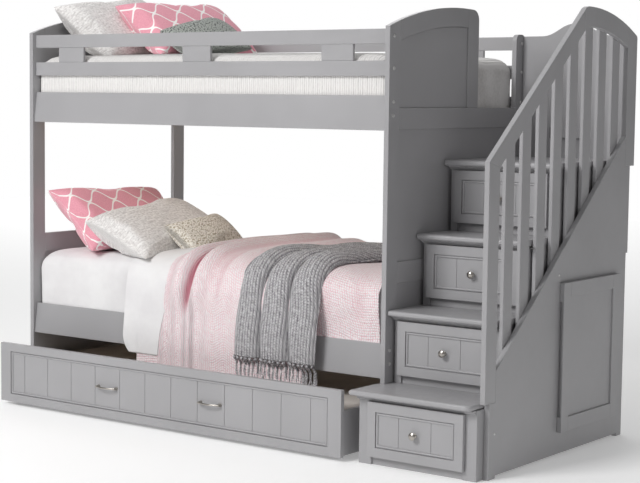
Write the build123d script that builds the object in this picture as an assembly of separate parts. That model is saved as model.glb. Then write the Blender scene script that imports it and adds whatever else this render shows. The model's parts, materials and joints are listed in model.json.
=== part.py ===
from build123d import *
import math
import os

# Twin-over-twin bunk bed with a drawer staircase at its foot and a roll-out
# trundle below. Millimetres. X runs from the head to the stairs, Y from the
# front to the back, Z up. The pieces are laid out from the outer front corner
# of the head end, and all move together at the end, so that the origin is the
# middle of the footprint on the floor.

# ---------------------------------------------------------------- bed frame
INNER_LENGTH = 1945      # clear length between the two end frames
DEPTH = 1069             # end frames, front to back
POST_HEIGHT = 1697       # corner posts at their outer edges
ARCH_RISE = 92           # how much the top arch rises above the posts
FRAME_T = 22             # timber thickness of the end frames
POST_WIDTH = 77
ARCH_DEPTH = 78          # depth of the arched top rail
CROSS_RAIL = (1294, 1379)    # cross rail under the upper panel
LOWER_RAIL = (685, 771)      # rail over the lower panel
BASE_RAIL = (100, 185)
PANEL_T = 10
ENTRY_STILE_OUT = 673    # edge of the way in, from the front
ENTRY_STILE_WIDTH = 85
ENTRY_CORNER_R = 45
EDGE = 2.0               # eased edges of the painted timber
TOUCH = 0.5              # clearance of pieces that lie beside each other

RAIL_BOTTOM_UPPER = 1290
RAIL_BOTTOM_LOWER = 310
RAIL_HEIGHT = 137
RAIL_BACK = 38           # inner face of a side rail, from the frame's front
RAIL_LEAN_BOTTOM = 8     # the rail's outer face leans in from bottom to top
RAIL_LEAN_TOP = 25
LEDGER = (22, 28)        # cleat under the slat ends, wide and high
SLAT_SEAT = 50           # top of the slats above the rail's bottom
SLAT_T = 18
SLAT_WIDTH = 70
SLAT_COUNT = 13

GUARD_T = 18
GUARD_SET_BACK = 20
GUARD_TOP = (1629, 1687)
GUARD_LOW = (1503, 1563)
GUARD_BLOCK_LENGTH = 155
GUARD_BLOCK_STARTS = (146, 888, 1623)    # from the head frame's inner face
GUARD_BLOCK_INSET = 2

BOLT_R = 3.0
BOLT_HOLE_R = 3.4
BOLT_HEAD_R = 7.5
BOLT_HEAD_T = 4.0
BOLT_LENGTH = 60
BOLT_INSET = 31          # bolt line from the front or back of the frame
BOLT_SHARES = (0.43, 0.82)   # bolts in a side rail's end, over its height

# ------------------------------------------------------------------- stairs
RISE = 291.5
RUN = 202
STEPS = 4
TREAD_T = 22
FIRST_NOSING = -190      # front of the lowest tread, from the frame's front
NOSING_OVERHANG = 48
NOSING_R = 9.5
CARCASS_GAP = 5.5        # between the foot frame and the staircase
CARCASS_WIDTH = 475
CARCASS_BACK = 1048
SIDE_T = 16
FACE_T = 19
BACK_T = 12
FIRST_BOX_EXTRA = 26.5   # the lowest step is wider by this on each side
TREAD_SIDE_LIP = 18      # lowest tread past its box on the bed's side
TREAD_SIDE_GAP = 4.5
COVE_DEPTH = 24
COVE_HEIGHT = 17.5

DRAWER_WIDTH = 430
DRAWER_BOTTOM = 34       # drawer front above the tread below it
DRAWER_TOP = 250
DRAWER_FRONT_T = 18
DRAWER_LAP = 10          # drawer front over the face frame
DRAWER_BORDER = 38
DRAWER_BOX_SIDE_GAP = 4
DRAWER_BOX_LENGTH = 365
DRAWER_BOX_HEIGHT = 150
DRAWER_WALL = 12
DRAWER_RUNNER_H = 14
TOE_INSET = 8
PANEL_RECESS = 6
BEAD_WIDTH = 9
BEAD_HEIGHT = 5
GROOVE_WIDTH = 3
GROOVE_DEPTH = 1.8
DRAWER_GROOVE_X = 73     # the two grooves each side of the knob
KNOB_R = 14.5

# ---------------------------------------------------------- side guard
GUARD_GAP = 26.5         # from the staircase's side to the guard
GUARD_FRAME_T = 22
NEWEL_FRONT = -126
NEWEL_BACK = -49
PANEL_FRONT = -92
NEWEL_BASE = 290
RAIL_SLOPE = 0.808
RAIL_TOP_Z = 1190        # handrail's top at the newel's front
RAIL_LOW_Z = 1166        # handrail's underside at the newel's back
RAIL_END = 598           # where the handrail meets the arched rail
SIDE_ARCH_PEAK = (640, 1788)
SIDE_ARCH_R = 949
SIDE_ARCH_DEPTH = 80
SIDE_STILE = (990, 1074)
SIDE_STILE_BASE = 1142
PANEL_SLOPE = 0.825
PANEL_SLOPE_Z = 409.5    # panel's sloping edge at the newel's back
PANEL_STEPS = ((1020, 776), (1036, SIDE_STILE_BASE))
PANEL_RELIEF = 12
BALUSTER_COUNT = 8
BALUSTER_WIDTH = 65
BALUSTER_T = 16
BALUSTER_START = 33
BALUSTER_PITCH = 122.5
BALUSTER_LAP = 55
REAR_GUARD_T = 18
REAR_GUARD_TOP = 1689
REAR_GUARD_CREST = 1742
REAR_GUARD_BASE = 1000

# -------------------------------------------------------------- cupboard
DOOR_Y = (440, 930)
DOOR_Z = (100, 698)
DOOR_T = 19.5
DOOR_STILE = 58
DOOR_OPENING_LAP = 14
CUPBOARD_TOP = 612
CUPBOARD_WALL = 12
PULL_DEPTH = 12
PULL_LIP = 6
PULL_Z = (162, 622)
HINGE_Z = (190, 608)
HINGE_H = 60
HINGE_PIN_R = 2.5
HINGE_PLAY = 0.05
KNUCKLE_R = 4.5
HINGE_PLATE_T = 2.0

# --------------------------------------------------------------- trundle
TRUNDLE_X = (6, 1916)
TRUNDLE_FRONT = -192     # front face where it stands, partly rolled out
TRUNDLE_Z = (16, 284)
TRUNDLE_FRONT_T = 22
TRUNDLE_BORDER = (64, 36)
TRUNDLE_BOX_INSET = (26, 11)
TRUNDLE_BOX_T = 18
TRUNDLE_BOX_LENGTH = 1026
TRUNDLE_SIDE_Z = (18, 197)
TRUNDLE_DECK_Z = 58
TRUNDLE_DECK_T = 12
BOARD_PITCH = 146.3
WHEEL_R = 25
WHEEL_W = 20
AXLE_R = 4.0
AXLE_PLAY = 0.05
WHEEL_INSET_X = 130
WHEEL_INSET_Y = 90
HANDLE_OFFSET = 291      # each handle from the trundle's middle
HANDLE_Z = 150
HANDLE_SPAN = 104
HANDLE_REACH = 27
HANDLE_R = 4.0

# -------------------------------------------------------------- soft goods
MATTRESS_END_GAP = 20    # from each end frame
MATTRESS_SIDE_GAP = 1.5  # from each side rail
MATTRESS_UPPER_T = 248
MATTRESS_LOWER_T = 330
MATTRESS_TRUNDLE = (1828, 986, 129)
MATTRESS_R = 45
SOFT_GAP = 1.0
QUILT_T = 16
QUILT_X = (880, 1935)
THROW_X = (1175, 1700)
HANG_T = 20
HANG_BOTTOM = 214
HANG_QUILT_X = (600, 1262)
HANG_THROW_X = (1266, 1662)

# ------------------------------------------------------ places worked out
MATTRESS_LENGTH = INNER_LENGTH - 2 * MATTRESS_END_GAP
MATTRESS_WIDTH = DEPTH - 2 * (RAIL_BACK + MATTRESS_SIDE_GAP)
X_HEAD = FRAME_T
X_FOOT = FRAME_T + INNER_LENGTH
X_OUT = X_FOOT + FRAME_T
ARCH_R = ((DEPTH / 2) ** 2 + ARCH_RISE ** 2) / (2 * ARCH_RISE)
CAR_X0 = X_OUT + CARCASS_GAP
CAR_X1 = CAR_X0 + CARCASS_WIDTH
STAIR_MID = (CAR_X0 + CAR_X1) / 2
GUARD_X0 = CAR_X1 + GUARD_GAP
GUARD_X1 = GUARD_X0 + GUARD_FRAME_T
DOOR_X0 = GUARD_X1 + TOUCH
DOOR_X1 = DOOR_X0 + DOOR_T
HINGE_X = (DOOR_X0 + DOOR_X1) / 2
HINGE_Y = DOOR_Y[1] + KNUCKLE_R + HINGE_PLATE_T / 2 + TOUCH
TRUNDLE_BACK = TRUNDLE_FRONT + TRUNDLE_FRONT_T + TRUNDLE_BOX_LENGTH


def nosing(k):
    """Front of tread k, counted from 1 at the floor."""
    return FIRST_NOSING + RUN * (k - 1)


def face(k):
    """Front of the face frame under tread k."""
    return nosing(k) + NOSING_OVERHANG


def base(k):
    """Top of what step k stands on."""
    return RISE * (k - 1)


def under(k):
    """Underside of tread k."""
    return RISE * k - TREAD_T


def board(x0, x1, y0, y1, z0, z1, ease=EDGE):
    """A board between two corners, with its edges eased."""
    middle = Pos((x0 + x1) / 2, (y0 + y1) / 2, (z0 + z1) / 2)
    blank = middle * Box(x1 - x0, y1 - y0, z1 - z0)
    if ease == 0:
        return blank
    return fillet(blank.edges(), min(ease, 0.3 * min(x1 - x0, y1 - y0, z1 - z0)))


def eased(solid, ease=EDGE):
    """Eases the edges of the two flat faces that look along X."""
    ends = solid.faces().sort_by(Axis.X)
    edges = ends[0].edges() + ends[-1].edges()
    return fillet(edges, ease)


def plate_x(outline, x0, x1, ease=EDGE):
    """A board cut to an outline in the Y-Z plane, from x0 to x1."""
    solid = extrude(Plane.YZ.offset(x0) * make_face(outline), amount=x1 - x0)
    return eased(solid, ease) if ease else solid


def mirror_y(solid, middle=DEPTH / 2):
    """The same piece on the other side of the bed's middle."""
    return mirror(solid, about=Plane.XZ.offset(-middle))


# ------------------------------------------------------------- end frames
def arch_z(y, radius=ARCH_R):
    """Height of the end frame's arch, or of an arch inside it, at y."""
    centre = POST_HEIGHT + ARCH_RISE - ARCH_R
    return centre + math.sqrt(radius ** 2 - (y - DEPTH / 2) ** 2)


def arch(y0, y1, radius=ARCH_R):
    """The arch between two places."""
    middle = (y0 + y1) / 2
    points = [(y, arch_z(y, radius)) for y in (y0, middle, y1)]
    return ThreePointArc(*points)


def arched_board(x0, x1, y0, y1, z0, radius=ARCH_R):
    """A board that stands on z0 and ends in the arch."""
    top = arch(y0, y1, radius)
    outline = top + Polyline((y1, arch_z(y1, radius)), (y1, z0), (y0, z0),
                             (y0, arch_z(y0, radius)))
    return plate_x(outline, x0, x1)


def arch_rail(x0, x1, y0, y1):
    """The arched top rail between two stiles."""
    low = ARCH_R - ARCH_DEPTH
    outline = arch(y0, y1) + Line((y1, arch_z(y1)), (y1, arch_z(y1, low)))
    outline += arch(y1, y0, low) + Line((y0, arch_z(y0, low)), (y0, arch_z(y0)))
    return plate_x(outline, x0, x1)


def entry_stile(x0, x1):
    """The stile beside the way in, with its top corner rounded."""
    y0 = ENTRY_STILE_OUT - ENTRY_STILE_WIDTH
    solid = plate_x(
        arch(y0, ENTRY_STILE_OUT)
        + Polyline((ENTRY_STILE_OUT, arch_z(ENTRY_STILE_OUT)),
                   (ENTRY_STILE_OUT, CROSS_RAIL[1]), (y0, CROSS_RAIL[1]),
                   (y0, arch_z(y0))), x0, x1, 0)
    corner = solid.edges().filter_by(Axis.X).sort_by(Axis.Z)[-2:]
    corner = corner.sort_by(Axis.Y)[-1]
    return eased(fillet(corner, ENTRY_CORNER_R))


def rear_foot_post():
    """The rear post at the way in, with a rounded top."""
    solid = board(X_FOOT, X_OUT, DEPTH - POST_WIDTH, DEPTH, 0, POST_HEIGHT, 0)
    tops = solid.edges().filter_by(Axis.X).sort_by(Axis.Z)[-2:]
    return eased(fillet(tops, POST_WIDTH * 0.36))


def bolt_places():
    """Height of each bolt in a post: guard rails, then the side rails."""
    heights = [sum(GUARD_TOP) / 2, sum(GUARD_LOW) / 2]
    for bottom in (RAIL_BOTTOM_UPPER, RAIL_BOTTOM_LOWER):
        heights += [bottom + share * RAIL_HEIGHT for share in BOLT_SHARES]
    return heights


def frame_ends():
    """Outer face and outward direction of the head and of the foot frame."""
    return ((0, -1), (X_OUT, 1))


def bolt_lines():
    return (BOLT_INSET, DEPTH - BOLT_INSET)


def rod(x, y, z, length, radius, way):
    """A rod that runs from x along X, way being 1 or -1."""
    return Pos(x + way * length / 2, y, z) * Rot(0, 90, 0) * Cylinder(radius, length)


def bolt_holes():
    """Clearance holes for the bolts through the posts into the rails."""
    return [rod(x, y, z, BOLT_LENGTH + 2, BOLT_HOLE_R, -way)
            for x, way in frame_ends() for y in bolt_lines()
            for z in bolt_places()]


def head_seats():
    """Room for the bolt heads where a tread covers one."""
    return [rod(x, y, z, BOLT_HEAD_T + TOUCH, BOLT_HEAD_R + TOUCH, way)
            for x, way in frame_ends() for y in bolt_lines()
            for z in bolt_places()]


def frame_bolts():
    """Domed bolts whose heads show on the outside of the posts."""
    bolts = []
    for x, way in frame_ends():
        for y in bolt_lines():
            for z in bolt_places():
                head = rod(x, y, z, BOLT_HEAD_T, BOLT_HEAD_R, way)
                rim = head.edges().sort_by(Axis.X)[0 if way < 0 else -1]
                head = fillet(rim, BOLT_HEAD_T * 0.6)
                bolts.append(head + rod(x, y, z, BOLT_LENGTH, BOLT_R, -way))
    return bolts


HOLES = bolt_holes()
SEATS = head_seats()


def bored(solid, cuts=tuple(HOLES)):
    """A piece with the bolt holes, or the seats, that reach it."""
    box = solid.bounding_box()
    for hole in cuts:
        reach = hole.bounding_box()
        if (reach.min.Y < box.max.Y and reach.max.Y > box.min.Y
                and reach.min.Z < box.max.Z and reach.max.Z > box.min.Z
                and reach.min.X < box.max.X and reach.max.X > box.min.X):
            solid = solid - hole
    return solid


def panel(x0, x1, y0, y1, z0, z1):
    """A flat panel in the middle of the frame's thickness."""
    inset = (FRAME_T - PANEL_T) / 2
    return board(x0 + inset, x1 - inset, y0, y1, z0, z1, 0)


def cross_rails(x0, x1):
    y0, y1 = POST_WIDTH, DEPTH - POST_WIDTH
    return [board(x0, x1, y0, y1, *span) for span in (CROSS_RAIL, LOWER_RAIL, BASE_RAIL)]


def head_end():
    x0, x1 = 0, X_HEAD
    y0, y1 = POST_WIDTH, DEPTH - POST_WIDTH
    inset = (FRAME_T - PANEL_T) / 2
    low = ARCH_R - ARCH_DEPTH
    posts = [bored(arched_board(x0, x1, 0, y0, 0)),
             bored(arched_board(x0, x1, y1, DEPTH, 0))]
    top = arched_board(x0 + inset, x1 - inset, y0, y1, CROSS_RAIL[1], low)
    return {"head_posts": posts,
            "head_rails": [arch_rail(x0, x1, y0, y1)] + cross_rails(x0, x1),
            "head_panels": [top, panel(x0, x1, y0, y1, BASE_RAIL[1], LOWER_RAIL[0])]}


def foot_end():
    x0, x1 = X_FOOT, X_OUT
    y0, y1 = POST_WIDTH, DEPTH - POST_WIDTH
    stile = ENTRY_STILE_OUT - ENTRY_STILE_WIDTH
    inset = (FRAME_T - PANEL_T) / 2
    low = ARCH_R - ARCH_DEPTH
    posts = [bored(arched_board(x0, x1, 0, y0, 0)), bored(rear_foot_post()),
             entry_stile(x0, x1)]
    top = arched_board(x0 + inset, x1 - inset, y0, stile, CROSS_RAIL[1], low)
    panels = [top, panel(x0, x1, y0, y1, LOWER_RAIL[1], CROSS_RAIL[0]),
              panel(x0, x1, y0, y1, BASE_RAIL[1], LOWER_RAIL[0])]
    return {"foot_posts": posts,
            "foot_rails": [arch_rail(x0, x1, y0, stile)] + cross_rails(x0, x1),
            "foot_panels": panels}


# ---------------------------------------------------- rails, slats, guards
def side_rail(bottom):
    """A front side rail: its outer face leans in towards the top."""
    outline = Polyline((RAIL_LEAN_BOTTOM, bottom), (RAIL_LEAN_TOP, bottom + RAIL_HEIGHT),
                       (RAIL_BACK, bottom + RAIL_HEIGHT), (RAIL_BACK, bottom), close=True)
    blank = extrude(Plane.YZ.offset(X_HEAD) * make_face(outline), amount=INNER_LENGTH)
    return bored(fillet(blank.edges().filter_by(Axis.X), EDGE))


def slat_base(bottom):
    """Cleats along the rails and the slats that lie on them."""
    wide, high = LEDGER
    seat = bottom + SLAT_SEAT - SLAT_T
    cleat = board(X_HEAD + TOUCH, X_FOOT - TOUCH, RAIL_BACK, RAIL_BACK + wide,
                  seat - high, seat)
    step = (INNER_LENGTH - SLAT_WIDTH - 60) / (SLAT_COUNT - 1)
    slats = []
    for i in range(SLAT_COUNT):
        x = X_HEAD + 30 + i * step
        slats.append(board(x, x + SLAT_WIDTH, RAIL_BACK + TOUCH,
                           DEPTH - RAIL_BACK - TOUCH, seat, seat + SLAT_T))
    return [cleat, mirror_y(cleat)], slats


def guards():
    """Guard rails on both long sides, with the blocks between them."""
    y0, y1 = GUARD_SET_BACK, GUARD_SET_BACK + GUARD_T
    rails = [bored(board(X_HEAD, X_FOOT, y0, y1, *span)) for span in (GUARD_TOP, GUARD_LOW)]
    blocks = []
    for start in GUARD_BLOCK_STARTS:
        x = X_HEAD + start
        blocks.append(board(x, x + GUARD_BLOCK_LENGTH, y0 + GUARD_BLOCK_INSET,
                            y1 - GUARD_BLOCK_INSET, GUARD_LOW[1], GUARD_TOP[0]))
    return {"guard_rails": rails + [mirror_y(r) for r in rails],
            "guard_blocks": blocks + [mirror_y(b) for b in blocks]}


def bed_base():
    rails, cleats, slats = [], [], []
    for bottom in (RAIL_BOTTOM_UPPER, RAIL_BOTTOM_LOWER):
        rail = side_rail(bottom)
        pair, row = slat_base(bottom)
        rails += [rail, mirror_y(rail)]
        cleats += pair
        slats += row
    return {"side_rails": rails, "slat_cleats": cleats, "slats": slats}


# ---------------------------------------------------------------- staircase
def stepped_outline(front, back, foot):
    """The staircase's side: it rises behind each face frame in turn."""
    points = [(front, foot), (front, under(1))]
    for k in range(2, STEPS + 1):
        points += [(face(k) + FACE_T, under(k - 1)), (face(k) + FACE_T, under(k))]
    points += [(back, under(STEPS)), (back, foot)]
    return Polyline(*points, close=True)


def cupboard_box():
    """Outer size of the cupboard behind the door: y, y, z, z."""
    lap = DOOR_OPENING_LAP
    return (DOOR_Y[0] + lap, DOOR_Y[1] - lap, DOOR_Z[0] + lap, CUPBOARD_TOP)


def carcass():
    """Side panels, the back, and the cupboard's lining."""
    front = face(1) + FACE_T
    back = CARCASS_BACK - BACK_T
    outline = stepped_outline(front, back, 0)
    left = plate_x(outline, CAR_X0, CAR_X0 + SIDE_T, 0)
    right = plate_x(outline, CAR_X1 - SIDE_T, CAR_X1, 0)
    y0, y1, z0, z1 = cupboard_box()
    right -= board(CAR_X1 - SIDE_T - 1, CAR_X1 + 1, y0, y1, z0, z1, 0)
    wall = CUPBOARD_WALL
    x0, x1 = CAR_X0 + SIDE_T, GUARD_X0
    lining = [board(x0, x1, y0, y1, z0, z0 + wall, 0),
              board(x0, x1, y0, y1, z1 - wall, z1, 0),
              board(x0, x1, y0, y0 + wall, z0 + wall, z1 - wall, 0),
              board(x0, x1, y1 - wall, y1, z0 + wall, z1 - wall, 0)]
    rear = board(CAR_X0, CAR_X1, back, CARCASS_BACK, 0, under(STEPS), 0)
    first = (face(1) + FACE_T, -TOUCH * 4)
    wings = [board(CAR_X0 - FIRST_BOX_EXTRA, CAR_X0 - FIRST_BOX_EXTRA + SIDE_T,
                   *first, 0, under(1)),
             board(CAR_X1 + FIRST_BOX_EXTRA - SIDE_T, CAR_X1 + FIRST_BOX_EXTRA - TOUCH,
                   first[0], PANEL_FRONT + FACE_T, 0, under(1))]
    return {"stair_left_side": [left], "stair_right_side": [right],
            "stair_back": [rear], "cupboard_lining": lining, "first_step_sides": wings}


def frame_width(k):
    """Left and right of face frame k: the lowest one is wider."""
    extra = FIRST_BOX_EXTRA if k == 1 else 0
    return CAR_X0 - extra, CAR_X1 + extra


def face_frame(k):
    """Two stiles, a set-back toe rail and a top rail round a drawer."""
    x0, x1 = frame_width(k)
    y0, y1 = face(k), face(k) + FACE_T
    left = STAIR_MID - DRAWER_WIDTH / 2 + DRAWER_LAP
    right = STAIR_MID + DRAWER_WIDTH / 2 - DRAWER_LAP
    low = base(k) + DRAWER_BOTTOM + DRAWER_LAP
    high = base(k) + DRAWER_TOP - DRAWER_LAP
    return [board(x0, left, y0, y1, base(k), under(k)),
            board(right, x1, y0, y1, base(k), under(k)),
            board(left, right, y0 + TOE_INSET, y1, base(k), low, 1),
            board(left, right, y0 + TOE_INSET, y1, high, under(k), 1)]


def tread(k):
    """A tread with a rounded nosing. The lowest one also wraps the foot post."""
    x0, x1 = X_OUT + TOUCH * 3, CAR_X1 + TREAD_SIDE_GAP
    back = CARCASS_BACK if k == STEPS else face(k + 1) + FACE_T
    if k > 1:
        blank = board(x0, x1, nosing(k), back, under(k), RISE * k, 0)
        front = blank.faces().sort_by(Axis.Y)[0]
        return bored(fillet(front.edges().filter_by(Axis.X), NOSING_R), SEATS)
    left = frame_width(1)[0] - TREAD_SIDE_LIP
    right = frame_width(1)[1] - TREAD_SIDE_GAP
    blank = board(left, right, nosing(1), -TOUCH * 4, under(1), RISE, 0)
    corner = blank.edges().filter_by(Axis.Z).sort_by(Axis.Y)[:2].sort_by(Axis.X)[-1]
    blank = fillet(corner, 26)
    rim = [e for e in blank.edges() if e.bounding_box().max.Y < back
           and e.bounding_box().size.Z < TREAD_T / 2 and e.center().Y < -TOUCH * 5]
    blank = fillet(rim, NOSING_R)
    rear = board(x0, right, -TOUCH * 5, back, under(1), RISE, 0)
    return bored(blank + rear, SEATS)


def cove_outline(front, top):
    """Moulding section under a nosing: a step, then a hollow."""
    y0, y1 = front - COVE_DEPTH, front
    z1 = top
    z0 = top - COVE_HEIGHT
    return (Polyline((y1, z0), (y1, z1), (y0, z1), (y0, z1 - 4), (y0 + 4, z1 - 4),
                     (y0 + 4, z1 - 6))
            + ThreePointArc((y0 + 4, z1 - 6), (y1 - 9, z0 + 7), (y1 - 4, z0 + 2))
            + Polyline((y1 - 4, z0 + 2), (y1 - 4, z0), (y1, z0)))


def tread_mouldings():
    coves = []
    for k in range(1, STEPS + 1):
        x0, x1 = frame_width(k)
        if k > 1:
            x0 = X_OUT + TOUCH * 3
        coves.append(plate_x(cove_outline(face(k), under(k)), x0, x1 - TREAD_SIDE_GAP, 0))
    side = frame_width(1)[0]
    turn = board(side - TREAD_SIDE_LIP * 0.7, side, face(1), -TOUCH * 6,
                 under(1) - COVE_HEIGHT, under(1))
    return coves + [turn]


def fielded(x0, x1, z0, z1, front, thick, border, grooves):
    """A front with a sunk field, a bead round it and grooves down it."""
    slab = board(x0, x1, front, front + thick, z0, z1)
    fx0, fx1 = x0 + border[0], x1 - border[0]
    fz0, fz1 = z0 + border[1], z1 - border[1]
    slab -= board(fx0, fx1, front - 1, front + PANEL_RECESS, fz0, fz1, 0)
    line = 2.5
    bead = board(fx0 + line, fx1 - line, front + PANEL_RECESS - BEAD_HEIGHT,
                 front + PANEL_RECESS + 1, fz0 + line, fz1 - line, 0)
    inner = line + BEAD_WIDTH
    bead -= board(fx0 + inner, fx1 - inner, front - 2, front + thick,
                  fz0 + inner, fz1 - inner, 0)
    nose = bead.faces().sort_by(Axis.Y)[0]
    slab += fillet(nose.edges(), BEAD_WIDTH * 0.42)
    for x in grooves:
        slab -= board(x - GROOVE_WIDTH / 2, x + GROOVE_WIDTH / 2, front,
                      front + PANEL_RECESS + GROOVE_DEPTH, fz0 + inner, fz1 - inner, 0)
    return slab


def knob(x, front, z):
    """A turned knob: rosette, neck and mushroom head, along -Y."""
    dome = (KNOB_R ** 2 + 25) / 10
    half = 27 - dome + math.sqrt(dome ** 2 - KNOB_R ** 2 / 4)
    outline = (Polyline((0, 0), (9, 0), (9, 2), (5.2, 5), (4.6, 12), (9, 15), (KNOB_R, 19),
                        (KNOB_R, 22))
               + ThreePointArc((KNOB_R, 22), (KNOB_R / 2, half), (0, 27))
               + Line((0, 27), (0, 0)))
    turned = revolve(Plane.XZ * make_face(outline), axis=Axis.Z)
    return Pos(x, front, z) * Rot(90, 0, 0) * turned


def drawer_box(k):
    """An open box of five boards behind drawer front k."""
    half = DRAWER_WIDTH / 2 - DRAWER_LAP - DRAWER_BOX_SIDE_GAP
    x0, x1 = STAIR_MID - half, STAIR_MID + half
    y0, y1 = face(k), face(k) + FACE_T + DRAWER_BOX_LENGTH
    z0 = base(k) + DRAWER_BOTTOM + DRAWER_LAP + DRAWER_RUNNER_H + TOUCH
    z1 = z0 + DRAWER_BOX_HEIGHT
    w = DRAWER_WALL
    return [board(x0, x0 + w, y0, y1, z0, z1, 1), board(x1 - w, x1, y0, y1, z0, z1, 1),
            board(x0 + w, x1 - w, y0, y0 + w, z0, z1, 1),
            board(x0 + w, x1 - w, y1 - w, y1, z0, z1, 1),
            board(x0 + w, x1 - w, y0 + w, y1 - w, z0 + w / 2, z0 + w, 0)]


def drawers():
    """Front, box and knob of each drawer."""
    x0, x1 = STAIR_MID - DRAWER_WIDTH / 2, STAIR_MID + DRAWER_WIDTH / 2
    grooves = (STAIR_MID - DRAWER_GROOVE_X, STAIR_MID + DRAWER_GROOVE_X)
    nodes = {}
    for k in range(1, STEPS + 1):
        front = face(k) - DRAWER_FRONT_T
        z0, z1 = base(k) + DRAWER_BOTTOM, base(k) + DRAWER_TOP
        nodes[f"drawer_{k}_front"] = [fielded(x0, x1, z0, z1, front, DRAWER_FRONT_T - TOUCH,
                                              (DRAWER_BORDER, DRAWER_BORDER), grooves)]
        nodes[f"drawer_{k}_box"] = [Pos(0, -TOUCH, 0) * b for b in drawer_box(k)]
        nodes[f"drawer_{k}_knob"] = [knob(STAIR_MID, front + PANEL_RECESS, (z0 + z1) / 2)]
    return nodes


def drawer_runners():
    """A shelf strip under each side of each drawer box."""
    half = DRAWER_WIDTH / 2 - DRAWER_LAP
    bars = []
    for k in range(1, STEPS + 1):
        z0 = base(k) + DRAWER_BOTTOM + DRAWER_LAP
        span = (face(k) + FACE_T + TOUCH, face(k) + FACE_T + DRAWER_BOX_LENGTH)
        for x0, x1 in ((CAR_X0 + SIDE_T, STAIR_MID - half + 20),
                       (STAIR_MID + half - 20, CAR_X1 - SIDE_T)):
            bars.append(board(x0, x1, *span, z0, z0 + DRAWER_RUNNER_H, 0))
    return bars


# ---------------------------------------------------------------- side guard
def rail_top(y):
    return RAIL_TOP_Z + RAIL_SLOPE * (y - NEWEL_FRONT)


def rail_low(y):
    return RAIL_LOW_Z + RAIL_SLOPE * (y - NEWEL_BACK)


def panel_top(y):
    return PANEL_SLOPE_Z + PANEL_SLOPE * (y - NEWEL_BACK)


def side_arch_z(y, radius=SIDE_ARCH_R):
    peak_y, peak_z = SIDE_ARCH_PEAK
    return peak_z - SIDE_ARCH_R + math.sqrt(radius ** 2 - (y - peak_y) ** 2)


def side_arch(y0, y1, radius=SIDE_ARCH_R):
    middle = (y0 + y1) / 2
    points = [(y, side_arch_z(y, radius)) for y in (y0, middle, y1)]
    return ThreePointArc(*points)


def side_panel():
    """The guard's lower panel, with a sloping top and the cupboard's opening."""
    (step1_y, step1_z), (step2_y, step2_z) = PANEL_STEPS
    stile = SIDE_STILE[0]
    outline = Polyline((PANEL_FRONT, 0), (NEWEL_BACK + 9, 0), (NEWEL_BACK + 9, PANEL_RELIEF),
                       (step1_y - 45, PANEL_RELIEF), (step1_y - 45, 0), (step1_y, 0),
                       (step1_y, step1_z), (step2_y, step1_z), (step2_y, step2_z),
                       (stile, step2_z), (stile, panel_top(stile)),
                       (NEWEL_BACK, PANEL_SLOPE_Z), (NEWEL_BACK, NEWEL_BASE),
                       (PANEL_FRONT, NEWEL_BASE), close=True)
    solid = plate_x(outline, GUARD_X0, GUARD_X1)
    y0, y1, z0, z1 = cupboard_box()
    w = CUPBOARD_WALL
    return solid - board(GUARD_X0 - 1, GUARD_X1 + 1, y0 + w, y1 - w, z0 + w, z1 - w, 0)


def newel():
    outline = Polyline((NEWEL_FRONT, NEWEL_BASE), (NEWEL_BACK, NEWEL_BASE),
                       (NEWEL_BACK, RAIL_LOW_Z), (NEWEL_FRONT, RAIL_TOP_Z), close=True)
    return plate_x(outline, GUARD_X0, GUARD_X1)


def handrail():
    outline = Polyline((NEWEL_FRONT, RAIL_TOP_Z), (NEWEL_BACK, RAIL_LOW_Z),
                       (RAIL_END, rail_low(RAIL_END)), (RAIL_END, rail_top(RAIL_END)),
                       close=True)
    return plate_x(outline, GUARD_X0, GUARD_X1)


def side_arch_rail():
    """Carries the handrail round its peak and down to the rear stile."""
    peak_y, peak_z = SIDE_ARCH_PEAK
    low = SIDE_ARCH_R - SIDE_ARCH_DEPTH
    end = SIDE_STILE[0]
    bend = ThreePointArc((RAIL_END, rail_top(RAIL_END)), (RAIL_END + 18, peak_z - 3),
                         (peak_y, peak_z))
    outline = (bend + side_arch(peak_y, end)
               + Line((end, side_arch_z(end)), (end, side_arch_z(end, low)))
               + side_arch(end, peak_y, low)
               + Polyline((peak_y, side_arch_z(peak_y, low)), (RAIL_END, rail_low(RAIL_END)),
                          (RAIL_END, rail_top(RAIL_END))))
    return plate_x(outline, GUARD_X0, GUARD_X1)


def rear_stile():
    y0, y1 = SIDE_STILE
    outline = side_arch(y0, y1) + Polyline((y1, side_arch_z(y1)), (y1, SIDE_STILE_BASE),
                                           (y0, SIDE_STILE_BASE), (y0, side_arch_z(y0)))
    solid = plate_x(outline, GUARD_X0, GUARD_X1, 0)
    corner = solid.edges().filter_by(Axis.X).sort_by(Axis.Z)[-2:].sort_by(Axis.Y)[-1]
    return eased(fillet(corner, 14))


def balusters():
    """Flat balusters, lapped behind the panel below and the rails above."""
    bars = []
    for i in range(BALUSTER_COUNT):
        y = BALUSTER_START + i * BALUSTER_PITCH
        top = min(rail_low(y), side_arch_z(max(y, SIDE_ARCH_PEAK[0]),
                                           SIDE_ARCH_R - SIDE_ARCH_DEPTH))
        bars.append(board(GUARD_X0 - BALUSTER_T, GUARD_X0, y, y + BALUSTER_WIDTH,
                          panel_top(y) - BALUSTER_LAP, top + BALUSTER_LAP))
    return bars


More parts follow.
